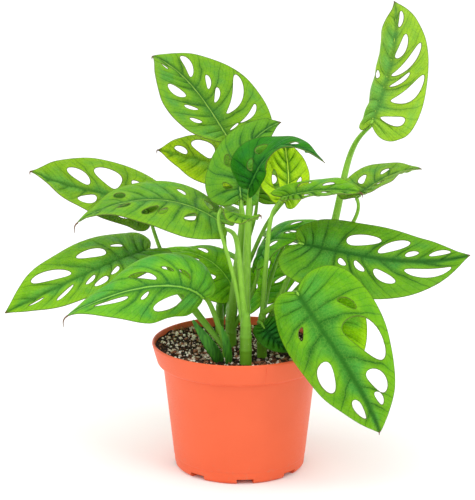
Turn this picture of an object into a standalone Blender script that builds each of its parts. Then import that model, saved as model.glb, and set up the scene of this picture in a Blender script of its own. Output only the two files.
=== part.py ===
"""A potted Monstera adansonii: leafy shoots standing in the mix of a round nursery pot.

Every length below is in millimetres and becomes metres where a mesh is made. The origin is the
middle of the pot's foot, +Z is up and -Y is the front of the plant.
"""

import bmesh
import bpy
import numpy as np
from mathutils import Matrix, Vector
from mathutils.geometry import delaunay_2d_cdt

MM = 0.001
CLEARANCE = 0.3

# The pot: a turned shell with a rim band, a stepped-in body and a raised foot.
POT_HEIGHT = 88.0
RIM_RADIUS = 60.0
RIM_FOOT_RADIUS = 56.4
RIM_HEIGHT = 15.5
RIM_CHAMFER = 1.6
BODY_TOP_RADIUS = 52.5
FOOT_RADIUS = 44.5
FOOT_WIDTH = 6.5
FOOT_RISE = 2.4
FOOT_ROUND = 1.4
POT_WALL = 1.6
FLOOR = 2.0
CENTRE_RADIUS = 29.0
POT_STEPS = 72

# Drainage notches cut through the foot ring.
NOTCH_COUNT = 8
NOTCH_WIDTH = 11.5
NOTCH_HEIGHT = 3.5
NOTCH_TURN = 4.7

# The potting mix.
SOIL_TOP = 82.4
SOIL_RINGS = (7.0, 16.0, 25.0, 34.0, 43.0, 50.0)
SOIL_STEPS = 36
SOIL_BUMP = 0.7
STEM_DEPTH = 14.0

# Leaf stalks and stems.
STALK_SIDES = 8
STALK_STEPS = 9
STALK_END_RADIUS = 1.05
STALK_TAPER = 1.3
STALK_SEAT = 0.75
STALK_SET_BACK = 0.8
STALK_APPROACH = 9.0
STRAP_FLATNESS = 0.4

# Blades: the half outline as (share of length, share of half width) from stalk joint to tip.
HALF_OUTLINE = (
    (0.0, 0.0), (-0.045, 0.16), (-0.07, 0.40), (-0.04, 0.68), (0.06, 0.92), (0.20, 1.0),
    (0.38, 0.965), (0.57, 0.81), (0.75, 0.54), (0.88, 0.26), (0.95, 0.095), (1.0, 0.0),
)
BLADE_THICKNESS = 0.8
VEIN_REACH = 2.0
VEIN_BOW = 1.5
MIDRIB_STEPS = 9
WINDOW_POINTS = 8
WINDOW_TAPER = 0.25
POINT_SPACE = 3.2

# Where each shoot stands in the mix, how thick its stem is and how high it reaches.
SHOOTS = {
    "shoot_middle": {"foot": (4, -36), "radius": 4.0, "top": 118},
    "shoot_left": {"foot": (-9, -24), "radius": 2.8, "top": 100},
    "shoot_right": {"foot": (15, -20), "radius": 3.4, "top": 114},
    "shoot_back": {"foot": (-6, 6), "radius": 3.8, "top": 116},
    "shoot_rear": {"foot": (-14, 38), "radius": 3.0, "top": 108},
}

# One row for each blade. midrib: the four guide points of its curve, joint first, tip last.
# face: which way the upper side looks at the joint and at the tip. width: half widths, left and
# right as seen from above with the tip ahead. lift and droop: how each half leaves the midrib and
# how far it has turned down at the margin, in degrees. left and right: the windows, each as
# (place along the margin at its inner end, at its outer end, share of the way from midrib to
# margin where it starts, where it ends, width). stalk: its shoot, the height where it leaves the
# stem, its radius there, its two guide points and the angle at which it meets the blade.
BLADES = {
    "blade_top_right": {
        "midrib": ((88, 8, 236), (100, 9, 266), (106, 0, 297), (99, -23, 321)),
        "face": ((-0.1, -1, 0.1), (0.6, -0.7, -0.5)), "width": (18, 30),
        "lift": (-20, 2), "droop": (110, 22), "outline": 15,
        "left": ((0.56, 0.54, 0.34, 0.60, 0.020),),
        "right": ((0.28, 0.38, 0.20, 0.74, 0.040), (0.45, 0.53, 0.22, 0.91, 0.033),
                  (0.54, 0.585, 0.10, 0.54, 0.014), (0.61, 0.66, 0.08, 0.87, 0.026),
                  (0.72, 0.76, 0.08, 0.56, 0.042), (0.87, 0.90, 0.16, 0.72, 0.028)),
        "stalk": ("shoot_right", 88, 3.2, (90, 28, 141), (57, 62, 216), 28),
    },
    "blade_top_left": {
        "midrib": ((-8, 45, 220), (-20, 66, 235), (-36, 83, 262), (-63, 105, 269)),
        "face": ((0.3, -0.6, 0.7), (0.1, -0.6, 0.8)), "width": (37, 41),
        "lift": (18, 12), "droop": (4, 18), "outline": 15,
        "left": ((0.42, 0.44, 0.42, 0.66, 0.020), (0.53, 0.54, 0.30, 0.58, 0.017),
                 (0.64, 0.66, 0.42, 0.78, 0.044), (0.86, 0.89, 0.45, 0.62, 0.022)),
        "right": ((0.27, 0.35, 0.17, 0.36, 0.018), (0.36, 0.46, 0.40, 0.80, 0.016),
                  (0.46, 0.58, 0.22, 0.92, 0.030), (0.57, 0.62, 0.16, 0.44, 0.018),
                  (0.66, 0.70, 0.26, 0.54, 0.018), (0.78, 0.84, 0.18, 0.86, 0.028)),
        "stalk": ("shoot_back", 111, 2.2, (0, 17, 147), (9, 27, 182), 34),
    },
    "blade_back_left_upper": {
        "midrib": ((2, 54, 197), (-18, 62, 200), (-38, 63, 203), (-57, 55, 210)),
        "face": ((-0.1, -0.5, 0.8), (0.5, -0.7, 0.5)), "width": (22, 28),
        "lift": (10, 7), "droop": (16, 30), "outline": 12,
        "left": (), "right": ((0.63, 0.66, 0.10, 0.80, 0.075), (0.82, 0.84, 0.14, 0.66, 0.04)),
        "stalk": ("shoot_back", 108, 2.0, (4, 20, 150), (12, 34, 184), 30),
    },
    "blade_centre_upright": {
        "midrib": ((1, 4, 186), (-2, 17, 203), (3, 24, 226), (28, 17, 236)),
        "face": ((0.3, -0.8, 0.4), (-0.3, -0.8, 0.5)), "width": (24, 18),
        "lift": (0, 0), "droop": (45, 40), "outline": 12,
        "left": ((0.37, 0.41, 0.25, 0.50, 0.028), (0.56, 0.58, 0.30, 0.60, 0.025)),
        "right": ((0.50, 0.53, 0.30, 0.62, 0.030),),
        "stalk": ("shoot_back", 99, 3.4, (-2, -2, 142), (5, 2, 179), 13),
    },
    "blade_centre_arched": {
        "midrib": ((6, -15, 197), (14, -39, 220), (22, -49, 247), (54, -65, 224)),
        "face": ((0.1, -0.8, 0.6), (0.5, -0.2, 0.8)), "width": (20, 7),
        "lift": (7, 11), "droop": (12, 48), "outline": 12,
        "left": ((0.46, 0.49, 0.15, 0.42, 0.032), (0.57, 0.55, 0.34, 0.66, 0.026),
                 (0.82, 0.80, 0.20, 0.60, 0.022)),
        "right": (),
        "stalk": ("shoot_middle", 92, 3.4, (3, -8, 144), (7, 2, 172), 8),
    },
    "blade_left_front_upper": {
        "midrib": ((-12, -9, 172), (-38, -5, 192), (-76, -12, 195), (-107, -35, 178)),
        "face": ((0.7, -0.2, 0.7), (-0.5, -0.2, 0.9)), "width": (31, 29),
        "lift": (9, 3), "droop": (53, 11), "outline": 14,
        "left": ((0.44, 0.47, 0.30, 0.62, 0.026), (0.59, 0.60, 0.40, 0.64, 0.015),
                 (0.64, 0.67, 0.39, 0.76, 0.023), (0.78, 0.80, 0.30, 0.60, 0.02)),
        "right": ((0.36, 0.40, 0.32, 0.62, 0.026), (0.50, 0.51, 0.42, 0.64, 0.012),
                  (0.77, 0.73, 0.42, 0.80, 0.020)),
        "stalk": ("shoot_middle", 112, 2.2, (-3, -28, 153), (2, -24, 176), 8),
    },
    "blade_centre_small": {
        "midrib": ((-11, -29, 186), (-1, -30, 181), (6, -40, 178), (13, -51, 187)),
        "face": ((0.4, 0.2, 0.9), (-0.7, 0.1, 0.8)), "width": (12, 12),
        "lift": (7, 9), "droop": (15, 29), "outline": 8, "left": (), "right": (),
        "stalk": ("shoot_middle", 90, 1.5, (-1, -32, 140), (-9, -30, 163), 75),
    },
    "blade_left_upper": {
        "midrib": ((-62, 14, 174), (-80, 15, 190), (-112, 9, 188), (-138, -15, 209)),
        "face": ((0.5, -0.6, 0.7), (0.7, -0.2, 0.7)), "width": (31, 33),
        "lift": (12, 11), "droop": (1, 23), "outline": 15,
        "left": ((0.42, 0.46, 0.53, 0.76, 0.030), (0.66, 0.68, 0.20, 0.76, 0.042)),
        "right": ((0.38, 0.41, 0.30, 0.62, 0.040), (0.54, 0.55, 0.18, 0.73, 0.060),
                  (0.70, 0.71, 0.18, 0.75, 0.048)),
        "stalk": ("shoot_left", 88, 1.8, (-43, 5, 126), (-54, 14, 136), 29),
    },
    "blade_left_lower": {
        "midrib": ((-61, 4, 151), (-88, -16, 148), (-121, -17, 130), (-155, -38, 118)),
        "face": ((0, -0.2, 1), (0.1, -0.6, 0.8)), "width": (30, 36),
        "lift": (12, 9), "droop": (14, 20), "outline": 15,
        "left": ((0.50, 0.52, 0.30, 0.55, 0.016), (0.56, 0.57, 0.50, 0.76, 0.025),
                 (0.62, 0.63, 0.27, 0.56, 0.017), (0.72, 0.75, 0.31, 0.77, 0.017),
                 (0.85, 0.89, 0.36, 0.64, 0.018)),
        "right": ((0.40, 0.44, 0.34, 0.48, 0.024), (0.52, 0.57, 0.26, 0.64, 0.050),
                  (0.72, 0.78, 0.20, 0.84, 0.048)),
        "stalk": ("shoot_left", 88, 1.8, (-44, 5, 123), (-52, 7, 132), 68),
    },
    "blade_front_left": {
        "midrib": ((-24, -32, 126), (-35, -58, 148), (-74, -70, 147), (-111, -78, 127)),
        "face": ((0.6, -0.7, -0.5), (-0.4, -0.4, 0.9)), "width": (27, 30),
        "lift": (-8, -3), "droop": (8, 103), "outline": 15,
        "left": ((0.46, 0.54, 0.18, 0.71, 0.080), (0.68, 0.69, 0.16, 0.40, 0.012),
                 (0.78, 0.86, 0.25, 0.52, 0.048)),
        "right": ((0.45, 0.50, 0.22, 0.38, 0.016), (0.54, 0.57, 0.34, 0.46, 0.013),
                  (0.64, 0.69, 0.18, 0.52, 0.030)),
        "stalk": ("shoot_left", 89, 1.9, (-22, -13, 126), (-20, -22, 122), 53),
    },
    "blade_back_left_lower": {
        "midrib": ((-3, 18, 116), (-12, 28, 137), (-30, 41, 143), (-57, 55, 138)),
        "face": ((0.5, -0.7, 0.6), (-0.2, 0, 1)), "width": (27, 26),
        "lift": (8, 2), "droop": (25, 29), "outline": 12,
        "left": ((0.47, 0.51, 0.30, 0.66, 0.034), (0.68, 0.71, 0.30, 0.62, 0.03)),
        "right": ((0.50, 0.53, 0.30, 0.66, 0.034), (0.70, 0.73, 0.30, 0.62, 0.03)),
        "stalk": ("shoot_back", 88, 1.8, (-1, 19, 110), (-4, 16, 107), 15),
    },
    "blade_right": {
        "midrib": ((40, -21, 161), (72, -39, 159), (112, -37, 146), (153, -24, 154)),
        "face": ((-0.1, -0.4, 0.9), (0.1, -0.8, 0.6)), "width": (31, 34),
        "lift": (4, 5), "droop": (11, 31), "outline": 15,
        "left": ((0.53, 0.58, 0.24, 0.66, 0.062), (0.67, 0.71, 0.18, 0.80, 0.036),
                 (0.78, 0.79, 0.20, 0.50, 0.020), (0.86, 0.90, 0.34, 0.84, 0.026)),
        "right": ((0.50, 0.51, 0.18, 0.36, 0.016), (0.57, 0.58, 0.18, 0.44, 0.016),
                  (0.64, 0.65, 0.35, 0.71, 0.028), (0.765, 0.86, 0.36, 0.85, 0.062)),
        "stalk": ("shoot_right", 99, 1.9, (35, -13, 137), (36, -16, 147), 73),
    },
    "blade_front_right": {
        "midrib": ((37, -56, 137), (54, -89, 117), (79, -102, 87), (91, -74, 47)),
        "face": ((-0.4, -0.6, 0.7), (0.5, -0.8, -0.4)), "width": (41, 34),
        "lift": (7, 1), "droop": (43, 75), "outline": 16,
        "left": ((0.44, 0.48, 0.46, 0.66, 0.024), (0.57, 0.62, 0.28, 0.88, 0.075),
                 (0.76, 0.77, 0.35, 0.82, 0.044), (0.83, 0.845, 0.42, 0.72, 0.024)),
        "right": ((0.45, 0.48, 0.28, 0.46, 0.018), (0.65, 0.66, 0.30, 0.80, 0.050),
                  (0.84, 0.85, 0.32, 0.72, 0.044)),
        "stalk": ("shoot_right", 112, 2.0, (42, -34, 136), (34, -43, 131), 44),
    },
    "blade_right_upper": {
        "midrib": ((78, -10, 190), (89, -1, 198), (104, 3, 206), (122, 2, 207)),
        "face": ((-0.5, -0.1, 0.9), (0, -0.1, 1)), "width": (25, 24),
        "lift": (12, 16), "droop": (6, 6), "outline": 11,
        "left": ((0.48, 0.52, 0.30, 0.64, 0.036), (0.68, 0.71, 0.30, 0.60, 0.03)),
        "right": ((0.50, 0.54, 0.30, 0.64, 0.036), (0.70, 0.73, 0.30, 0.60, 0.03)),
        "stalk": ("shoot_right", 102, 1.7, (45, -3, 134), (81, 10, 164), 83),
    },
    "blade_centre_right": {
        "midrib": ((28, -11, 190), (44, -6, 194), (62, -12, 197), (80, -24, 196)),
        "face": ((-0.1, -0.2, 1), (-0.2, -0.3, 0.9)), "width": (23, 24),
        "lift": (10, 9), "droop": (37, -20), "outline": 11,
        "left": ((0.48, 0.52, 0.30, 0.64, 0.036), (0.68, 0.71, 0.30, 0.60, 0.03)),
        "right": ((0.50, 0.54, 0.30, 0.64, 0.036), (0.70, 0.73, 0.30, 0.60, 0.03)),
        "stalk": ("shoot_right", 112, 1.7, (19, -15, 159), (19, -12, 180), 38),
    },
    "blade_back_centre": {
        "midrib": ((31, 29, 178), (36, 31, 189), (33, 32, 205), (30, 29, 223)),
        "face": ((0.6, -0.8, -0.2), (-0.3, -0.9, -0.2)), "width": (20, 16),
        "lift": (1, 0), "droop": (17, 19), "outline": 12,
        "left": ((0.45, 0.62, 0.34, 0.66, 0.075),), "right": ((0.50, 0.54, 0.32, 0.62, 0.03),),
        "stalk": ("shoot_back", 112, 1.6, (11, 26, 144), (16, 32, 164), 16),
    },
    "blade_inner_right": {
        "midrib": ((12, 9, 139), (19, 18, 161), (38, 19, 169), (69, 14, 161)),
        "face": ((-0.9, -0.1, 0.4), (0.2, -0.2, 0.9)), "width": (23, 24),
        "lift": (4, 8), "droop": (28, 22), "outline": 12,
        "left": ((0.50, 0.53, 0.30, 0.62, 0.030), (0.70, 0.72, 0.30, 0.60, 0.026)),
        "right": ((0.64, 0.72, 0.28, 0.66, 0.048), (0.47, 0.50, 0.30, 0.60, 0.03)),
        "stalk": ("shoot_back", 91, 1.8, (3, 5, 109), (8, 4, 117), 8),
    },
    "blade_back_right_lower": {
        "midrib": ((16, 22, 108), (18, 36, 121), (27, 52, 131), (43, 66, 139)),
        "face": ((-0.7, -0.4, 0.6), (0.1, -0.6, 0.8)), "width": (24, 24),
        "lift": (6, 10), "droop": (33, 20), "outline": 12,
        "left": ((0.48, 0.52, 0.30, 0.64, 0.036), (0.68, 0.71, 0.30, 0.60, 0.03)),
        "right": ((0.50, 0.54, 0.30, 0.64, 0.036), (0.70, 0.73, 0.30, 0.60, 0.03)),
        "stalk": ("shoot_right", 88, 1.7, (17, 16, 101), (17, 10, 99), 8),
    },
    "blade_young_low": {
        "midrib": ((15, -28, 107), (19, -30, 101), (25, -31, 95), (34, -33, 89)),
        "face": ((0, -0.9, 0.5), (-0.1, -0.9, 0.4)), "width": (14, 9),
        "lift": (8, 8), "droop": (25, 25), "outline": 9, "left": (), "right": (),
        "stalk": ("shoot_right", 98, 1.5, (14, -19, 102), (13, -19, 106), 60),
    },
    "blade_back_left": {
        "midrib": ((-12, 60, 157), (-31, 88, 163), (-55, 110, 159), (-85, 123, 149)),
        "face": ((0, -0.2, 1), (-0.3, 0, 1)), "width": (26, 26),
        "lift": (8, 8), "droop": (25, 25), "outline": 13,
        "left": ((0.42, 0.46, 0.30, 0.66, 0.040), (0.58, 0.62, 0.28, 0.66, 0.040),
                 (0.74, 0.78, 0.30, 0.62, 0.032)),
        "right": ((0.44, 0.48, 0.30, 0.66, 0.040), (0.60, 0.64, 0.28, 0.66, 0.040),
                  (0.76, 0.80, 0.30, 0.62, 0.032)),
        "stalk": ("shoot_rear", 88, 1.9, (-10, 54, 120), (-10, 59, 137), 76),
    },
    "blade_back_upper": {
        "midrib": ((12, 44, 176), (12, 62, 190), (8, 82, 197), (0, 104, 200)),
        "face": ((0, -0.6, 0.8), (-0.1, -0.3, 0.9)), "width": (24, 24),
        "lift": (8, 8), "droop": (25, 25), "outline": 12,
        "left": ((0.44, 0.48, 0.30, 0.66, 0.040), (0.62, 0.66, 0.30, 0.64, 0.036)),
        "right": ((0.48, 0.52, 0.30, 0.66, 0.040), (0.66, 0.70, 0.30, 0.64, 0.036)),
        "stalk": ("shoot_rear", 88, 1.8, (7, 75, 142), (10, 48, 159), 79),
    },
    "blade_back_right": {
        "midrib": ((33, 40, 149), (50, 68, 148), (66, 92, 133), (85, 110, 113)),
        "face": ((0.1, 0, 1), (0.5, 0.3, 0.8)), "width": (26, 26),
        "lift": (8, 8), "droop": (25, 25), "outline": 13,
        "left": ((0.42, 0.46, 0.30, 0.66, 0.040), (0.58, 0.62, 0.28, 0.66, 0.040),
                 (0.74, 0.78, 0.30, 0.62, 0.032)),
        "right": ((0.44, 0.48, 0.30, 0.66, 0.040), (0.60, 0.64, 0.28, 0.66, 0.040),
                  (0.76, 0.80, 0.30, 0.62, 0.032)),
        "stalk": ("shoot_right", 107, 1.8, (19, 9, 124), (23, 22, 133), 37),
    },
    "blade_behind_front_right": {
        "midrib": ((52, -24, 125), (64, -40, 116), (70, -54, 100), (71, -60, 76)),
        "face": ((-0.2, -0.6, 0.8), (0.1, -1, 0.2)), "width": (21, 21),
        "lift": (8, 8), "droop": (25, 25), "outline": 11,
        "left": (), "right": (),
        "stalk": ("shoot_right", 88, 1.6, (60, -12, 123), (48, -24, 122), 72),
    },
}

# Narrow flat sheaths that stand beside the stems: shoot, guide points, half width.
SHEATHS = (
    ("shoot_left", ((-9, -24, 87), (-13, -30, 94), (-22, -36, 100), (-30, -38, 112)), 3.6),
    ("shoot_left", ((-9, -25, 87), (-9, -34, 94), (-13, -40, 102), (-15, -40, 110)), 3.2),
)

GREENS = {"blade": (0.115, 0.345, 0.02), "stalk": (0.27, 0.50, 0.07)}
SOIL_COLOUR = (0.045, 0.028, 0.020)
POT_COLOUR = (0.86, 0.165, 0.055)


def clear_scene():
    for obj in list(bpy.data.objects):
        bpy.data.objects.remove(obj, do_unlink=True)


def material(name, colour, roughness):
    made = bpy.data.materials.new(name)
    made.use_nodes = True
    shader = made.node_tree.nodes["Principled BSDF"]
    shader.inputs["Base Color"].default_value = (*colour, 1.0)
    shader.inputs["Roughness"].default_value = roughness
    shader.inputs["Metallic"].default_value = 0.0
    return made


def add_object(name, data, skin=None):
    obj = bpy.data.objects.new(name, data)
    bpy.context.scene.collection.objects.link(obj)
    if skin is not None:
        data.materials.append(skin)
    return obj


def finished_mesh(obj):
    """The object's mesh with its modifiers or its curve bevel carried out."""
    bpy.context.view_layer.update()
    graph = bpy.context.evaluated_depsgraph_get()
    return bpy.data.meshes.new_from_object(obj.evaluated_get(graph))


def smooth(mesh, angle=35):
    mesh.shade_smooth()
    mesh.set_sharp_from_angle(angle=np.radians(angle))


def combine(target, tools, operation):
    """Joins the tools to the target, or cuts them from it, and removes them."""
    for tool in tools:
        modifier = target.modifiers.new(tool.name, "BOOLEAN")
        modifier.operation = operation
        modifier.object = tool
        modifier.solver = "EXACT"
    result = finished_mesh(target)
    target.modifiers.clear()
    target.data = result
    for tool in tools:
        bpy.data.objects.remove(tool, do_unlink=True)
    smooth(target.data)


def turned(name, profile, steps, skin):
    """A solid of revolution. The profile is (radius, z) from the axis down the outside and back
    to the axis, and the Screw modifier turns it."""
    points = [(radius * MM, 0.0, z * MM) for radius, z in profile]
    mesh = bpy.data.meshes.new(name)
    mesh.from_pydata(points, [(k, k + 1) for k in range(len(points) - 1)], [])
    obj = add_object(name, mesh, skin)
    screw = obj.modifiers.new("turn", "SCREW")
    screw.steps = steps
    screw.render_steps = steps
    screw.use_merge_vertices = True
    screw.merge_threshold = 0.00001
    result = finished_mesh(obj)
    obj.modifiers.clear()
    obj.data = result
    smooth(result)
    return obj


def inner_wall():
    """The pot's inside from the edge of the low centre of its floor to the rim, as (radius, z)."""
    step = POT_HEIGHT - RIM_HEIGHT
    return (
        (CENTRE_RADIUS - 1.0, FLOOR),
        (CENTRE_RADIUS + 1.4, FOOT_RISE + FLOOR),
        (FOOT_RADIUS - POT_WALL, FOOT_RISE + FLOOR),
        (BODY_TOP_RADIUS - POT_WALL, step - POT_WALL),
        (RIM_FOOT_RADIUS - POT_WALL, step + POT_WALL),
        (RIM_RADIUS - POT_WALL - 0.4, POT_HEIGHT - 0.6),
    )


def build_pot():
    """The shell, turned in one piece, with the notches cut through its foot ring."""
    skin = material("terracotta_plastic", POT_COLOUR, 0.42)
    step = POT_HEIGHT - RIM_HEIGHT
    foot_inside = FOOT_RADIUS - FOOT_WIDTH
    inside = inner_wall()
    outside = [(RIM_RADIUS - POT_WALL + 0.2, POT_HEIGHT), (RIM_RADIUS - 0.6, POT_HEIGHT),
               (RIM_RADIUS, POT_HEIGHT - 0.8), (RIM_FOOT_RADIUS, step + RIM_CHAMFER),
               (RIM_FOOT_RADIUS - RIM_CHAMFER, step), (BODY_TOP_RADIUS, step),
               (FOOT_RADIUS + 0.1, FOOT_ROUND), (FOOT_RADIUS - 0.4, 0.4),
               (FOOT_RADIUS - FOOT_ROUND, 0.0), (foot_inside, 0.0),
               (foot_inside - 1.0, FOOT_RISE), (CENTRE_RADIUS + 1.0, FOOT_RISE),
               (CENTRE_RADIUS, 0.0), (0.0, 0.0)]
    pot = turned("pot", [(0.0, FLOOR), *inner_wall(), *outside], POT_STEPS, skin)
    cutters = []
    for k in range(NOTCH_COUNT):
        size = Vector((NOTCH_WIDTH, FOOT_WIDTH + 6.0, 2 * NOTCH_HEIGHT)) * MM
        place = Vector((0.0, -(FOOT_RADIUS + 3.0 - size.y / MM / 2), 0.0)) * MM
        turn = Matrix.Rotation(np.radians(NOTCH_TURN + k * 360 / NOTCH_COUNT), 4, "Z")
        shape = bmesh.new()
        bmesh.ops.create_cube(shape, size=1.0, matrix=turn @ Matrix.LocRotScale(place, None, size))
        mesh = bpy.data.meshes.new(f"notch_{k}")
        shape.to_mesh(mesh)
        shape.free()
        cutters.append(add_object(f"notch_{k}", mesh))
    combine(pot, cutters, "DIFFERENCE")


def build_soil():
    """The mix: it fills the pot to just under the rim, lies a little uneven and has a plain hole
    for each stem."""
    skin = material("potting_mix", SOIL_COLOUR, 0.95)
    random = np.random.default_rng(5)
    centre, channel, low, shoulder, collar, rim = inner_wall()
    share = (SOIL_TOP - collar[1]) / (rim[1] - collar[1])
    edge = collar[0] + (rim[0] - collar[0]) * share - CLEARANCE
    profile = [(0.0, SOIL_TOP), *((radius, SOIL_TOP) for radius in SOIL_RINGS), (edge, SOIL_TOP),
               (collar[0] - CLEARANCE, collar[1] + 2 * CLEARANCE),
               (shoulder[0] - CLEARANCE, shoulder[1] + CLEARANCE),
               (low[0] - 1.2 * CLEARANCE, low[1] + CLEARANCE), (channel[0], low[1] + CLEARANCE),
               (centre[0] - CLEARANCE, centre[1] + CLEARANCE), (0.0, centre[1] + CLEARANCE)]
    soil = turned("potting_mix", profile, SOIL_STEPS, skin)
    for vertex in soil.data.vertices:
        if vertex.co.z > (SOIL_TOP - 0.1) * MM and vertex.co.xy.length < (edge - 0.1) * MM:
            vertex.co.z += random.uniform(-SOIL_BUMP, SOIL_BUMP) * MM
    cutters = []
    for name, shoot in SHOOTS.items():
        radius = (shoot["radius"] + CLEARANCE + 0.1) / np.cos(np.pi / STALK_SIDES)
        depth = STEM_DEPTH + CLEARANCE + 0.2
        place = Matrix.Translation(Vector((*shoot["foot"], SOIL_TOP - depth + 15.0)) * MM)
        shape = bmesh.new()
        bmesh.ops.create_cone(shape, cap_ends=True, segments=2 * STALK_SIDES, radius1=radius * MM,
                              radius2=radius * MM, depth=30 * MM, matrix=place)
        mesh = bpy.data.meshes.new(f"{name}_hole")
        shape.to_mesh(mesh)
        shape.free()
        cutters.append(add_object(f"{name}_hole", mesh))
    combine(soil, cutters, "DIFFERENCE")


def unit(vectors):
    return vectors / np.linalg.norm(vectors, axis=-1, keepdims=True)


def bezier(guides, share):
    """Points at the shares 0..1 of the curve that the guide points pull."""
    share = np.asarray(share, float)[..., None]
    pulls = [np.asarray(guide, float) + 0.0 * share for guide in guides]
    while len(pulls) > 1:
        pulls = [a + (b - a) * share for a, b in zip(pulls, pulls[1:])]
    return pulls[0]


def tube(name, path, radii, skin, section=None):
    """A round stalk along a path: a curve with a bevel, made a mesh. section is a flat outline
    that takes the place of the round one."""
    curve = bpy.data.curves.new(name, "CURVE")
    curve.dimensions = "3D"
    curve.use_fill_caps = True
    if section is None:
        curve.bevel_depth = MM
        curve.bevel_resolution = STALK_SIDES // 2 - 2
    else:
        curve.bevel_mode = "OBJECT"
        curve.bevel_object = section
    spline = curve.splines.new("POLY")
    spline.points.add(len(path) - 1)
    for point, place, radius in zip(spline.points, path, radii):
        point.co = (*(np.asarray(place) * MM), 1.0)
        point.radius = radius
    guide = add_object(f"{name}_guide", curve)
    mesh = finished_mesh(guide)
    bpy.data.objects.remove(guide, do_unlink=True)
    shape = bmesh.new()
    shape.from_mesh(mesh)
    bmesh.ops.remove_doubles(shape, verts=shape.verts, dist=0.0001 * MM)
    bmesh.ops.recalc_face_normals(shape, faces=shape.faces)
    shape.to_mesh(mesh)
    shape.free()
    return add_object(name, mesh, skin)


def strap_section():
    """The flat, slightly hollow outline of a sheath, one millimetre to each side."""
    curve = bpy.data.curves.new("strap_section", "CURVE")
    spline = curve.splines.new("POLY")
    turns = np.linspace(0, 2 * np.pi, STALK_SIDES, endpoint=False)
    spline.points.add(len(turns) - 1)
    for point, turn in zip(spline.points, turns):
        point.co = (np.cos(turn) * MM, STRAP_FLATNESS * np.sin(turn) * MM, 0.0, 1.0)
    spline.use_cyclic_u = True
    section = add_object("strap_section", curve)
    section.hide_render = True
    return section


def stalk_path(row, foot):
    """A stalk's centre line, from inside its stem to just under and behind its blade's joint."""
    _, height, _, first, second, arrive = row["stalk"]
    joint, ahead, up = (vector[0] for vector in blade_frame(row, np.zeros(1)))
    slope = np.radians(arrive)
    seat = STALK_SEAT + STALK_END_RADIUS * np.cos(slope)
    end = joint - up * seat - ahead * STALK_SET_BACK
    before = end - (ahead * np.cos(slope) + up * np.sin(slope)) * STALK_APPROACH
    return bezier(((*foot, height), first, second, before, end), np.linspace(0, 1, STALK_STEPS))


def build_shoot(name, section):
    """A stem with the stalks of its blades and its sheaths, fused into one solid."""
    skin = material(f"{name}_green", GREENS["stalk"], 0.45)
    shoot = SHOOTS[name]
    heights = np.linspace(SOIL_TOP - STEM_DEPTH, shoot["top"], 6)
    radii = shoot["radius"] * np.array((1.0, 1.0, 1.0, 0.97, 0.88, 0.6))
    stem = tube(name, [(*shoot["foot"], z) for z in heights], radii, skin)
    tools = []
    for blade, row in BLADES.items():
        if row["stalk"][0] == name:
            start = row["stalk"][2]
            shares = np.linspace(0, 1, STALK_STEPS)
            radii = start + (STALK_END_RADIUS - start) * shares ** STALK_TAPER
            tools.append(tube(f"{blade}_stalk", stalk_path(row, shoot["foot"]), radii, skin))
    for k, (owner, guides, width) in enumerate(SHEATHS):
        if owner == name:
            swell = width * np.array((0.6, 0.9, 1.0, 1.0, 0.85, 0.55, 0.2))
            path = bezier(guides, np.linspace(0, 1, len(swell)))
            tools.append(tube(f"{name}_sheath_{k}", path, swell, skin, section))
    combine(stem, tools, "UNION")


def blade_frame(row, share):
    """The midrib's point, its direction and the upper side's direction at shares of its length."""
    fine = np.linspace(0, 1, 61)
    curve = bezier(row["midrib"], fine)
    run = np.concatenate([[0.0], np.cumsum(np.linalg.norm(np.diff(curve, axis=0), axis=1))])
    inside = np.clip(share, 0, 1)
    at = np.interp(inside * run[-1], run, fine)
    centre = bezier(row["midrib"], at)
    small = 1e-3
    ahead = unit(bezier(row["midrib"], np.clip(at + small, 0, 1))
                 - bezier(row["midrib"], np.clip(at - small, 0, 1)))
    centre = centre + ahead * ((share - inside) * run[-1])[:, None]
    near, far = (unit(np.array(look, float)) for look in row["face"])
    look = near + (far - near) * inside[:, None]
    up = unit(look - ahead * np.sum(look * ahead, axis=1, keepdims=True))
    return centre, ahead, up


def bend(row, along, across, side):
    """Lays flat points on the bent blade. along is a share of its length, across a share of its
    half width. Each half leaves the midrib at its lift and then follows an arc downwards."""
    centre, ahead, up = blade_frame(row, along)
    right = np.cross(ahead, up)
    pick = (side > 0).astype(int)
    width = np.array(row["width"], float)[pick]
    lift = np.radians(np.array(row["lift"], float))[pick]
    turn = np.radians(np.array(row["droop"], float))[pick] * across
    chord = width * across * np.sinc(turn / (2 * np.pi))
    out = chord * np.cos(lift - turn / 2)
    rise = chord * np.sin(lift - turn / 2)
    return centre + right * (side * out)[:, None] + up * rise[:, None]


def smooth_curve(points, share):
    """Points at shares of a smooth curve through the given points: between each two a cubic
    whose end slopes come from the neighbours."""
    points = np.asarray(points, float)
    step = np.linalg.norm(np.diff(points, axis=0), axis=1)
    start = np.concatenate([[0.0], np.cumsum(step)])
    slope = np.diff(points, axis=0) / step[:, None]
    ends = np.empty_like(points)
    ends[1:-1] = ((slope[:-1] * step[1:, None] + slope[1:] * step[:-1, None])
                  / (step[:-1] + step[1:])[:, None])
    ends[0] = 1.5 * slope[0] - 0.5 * ends[1]
    ends[-1] = 1.5 * slope[-1] - 0.5 * ends[-2]
    reach = np.asarray(share, float) * start[-1]
    k = np.clip(np.searchsorted(start, reach, side="right") - 1, 0, len(step) - 1)
    size = step[k][:, None]
    t = ((reach - start[k]) / step[k])[:, None]
    return (points[k] * (1 + 2 * t) * (1 - t) ** 2 + ends[k] * size * t * (1 - t) ** 2
            + points[k + 1] * t * t * (3 - 2 * t) - ends[k + 1] * size * t * t * (1 - t))


def flat_point(margin, reach):
    """A point of the flat half blade on the side vein that ends at this share of the margin.
    The vein leaves the midrib and bows towards the tip."""
    end = smooth_curve(HALF_OUTLINE, margin)
    root = margin ** VEIN_REACH
    along = root + (end[:, 0] - root) * reach ** VEIN_BOW
    return np.stack([along, np.maximum(end[:, 1] * reach, 0.0)], axis=1)


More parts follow.
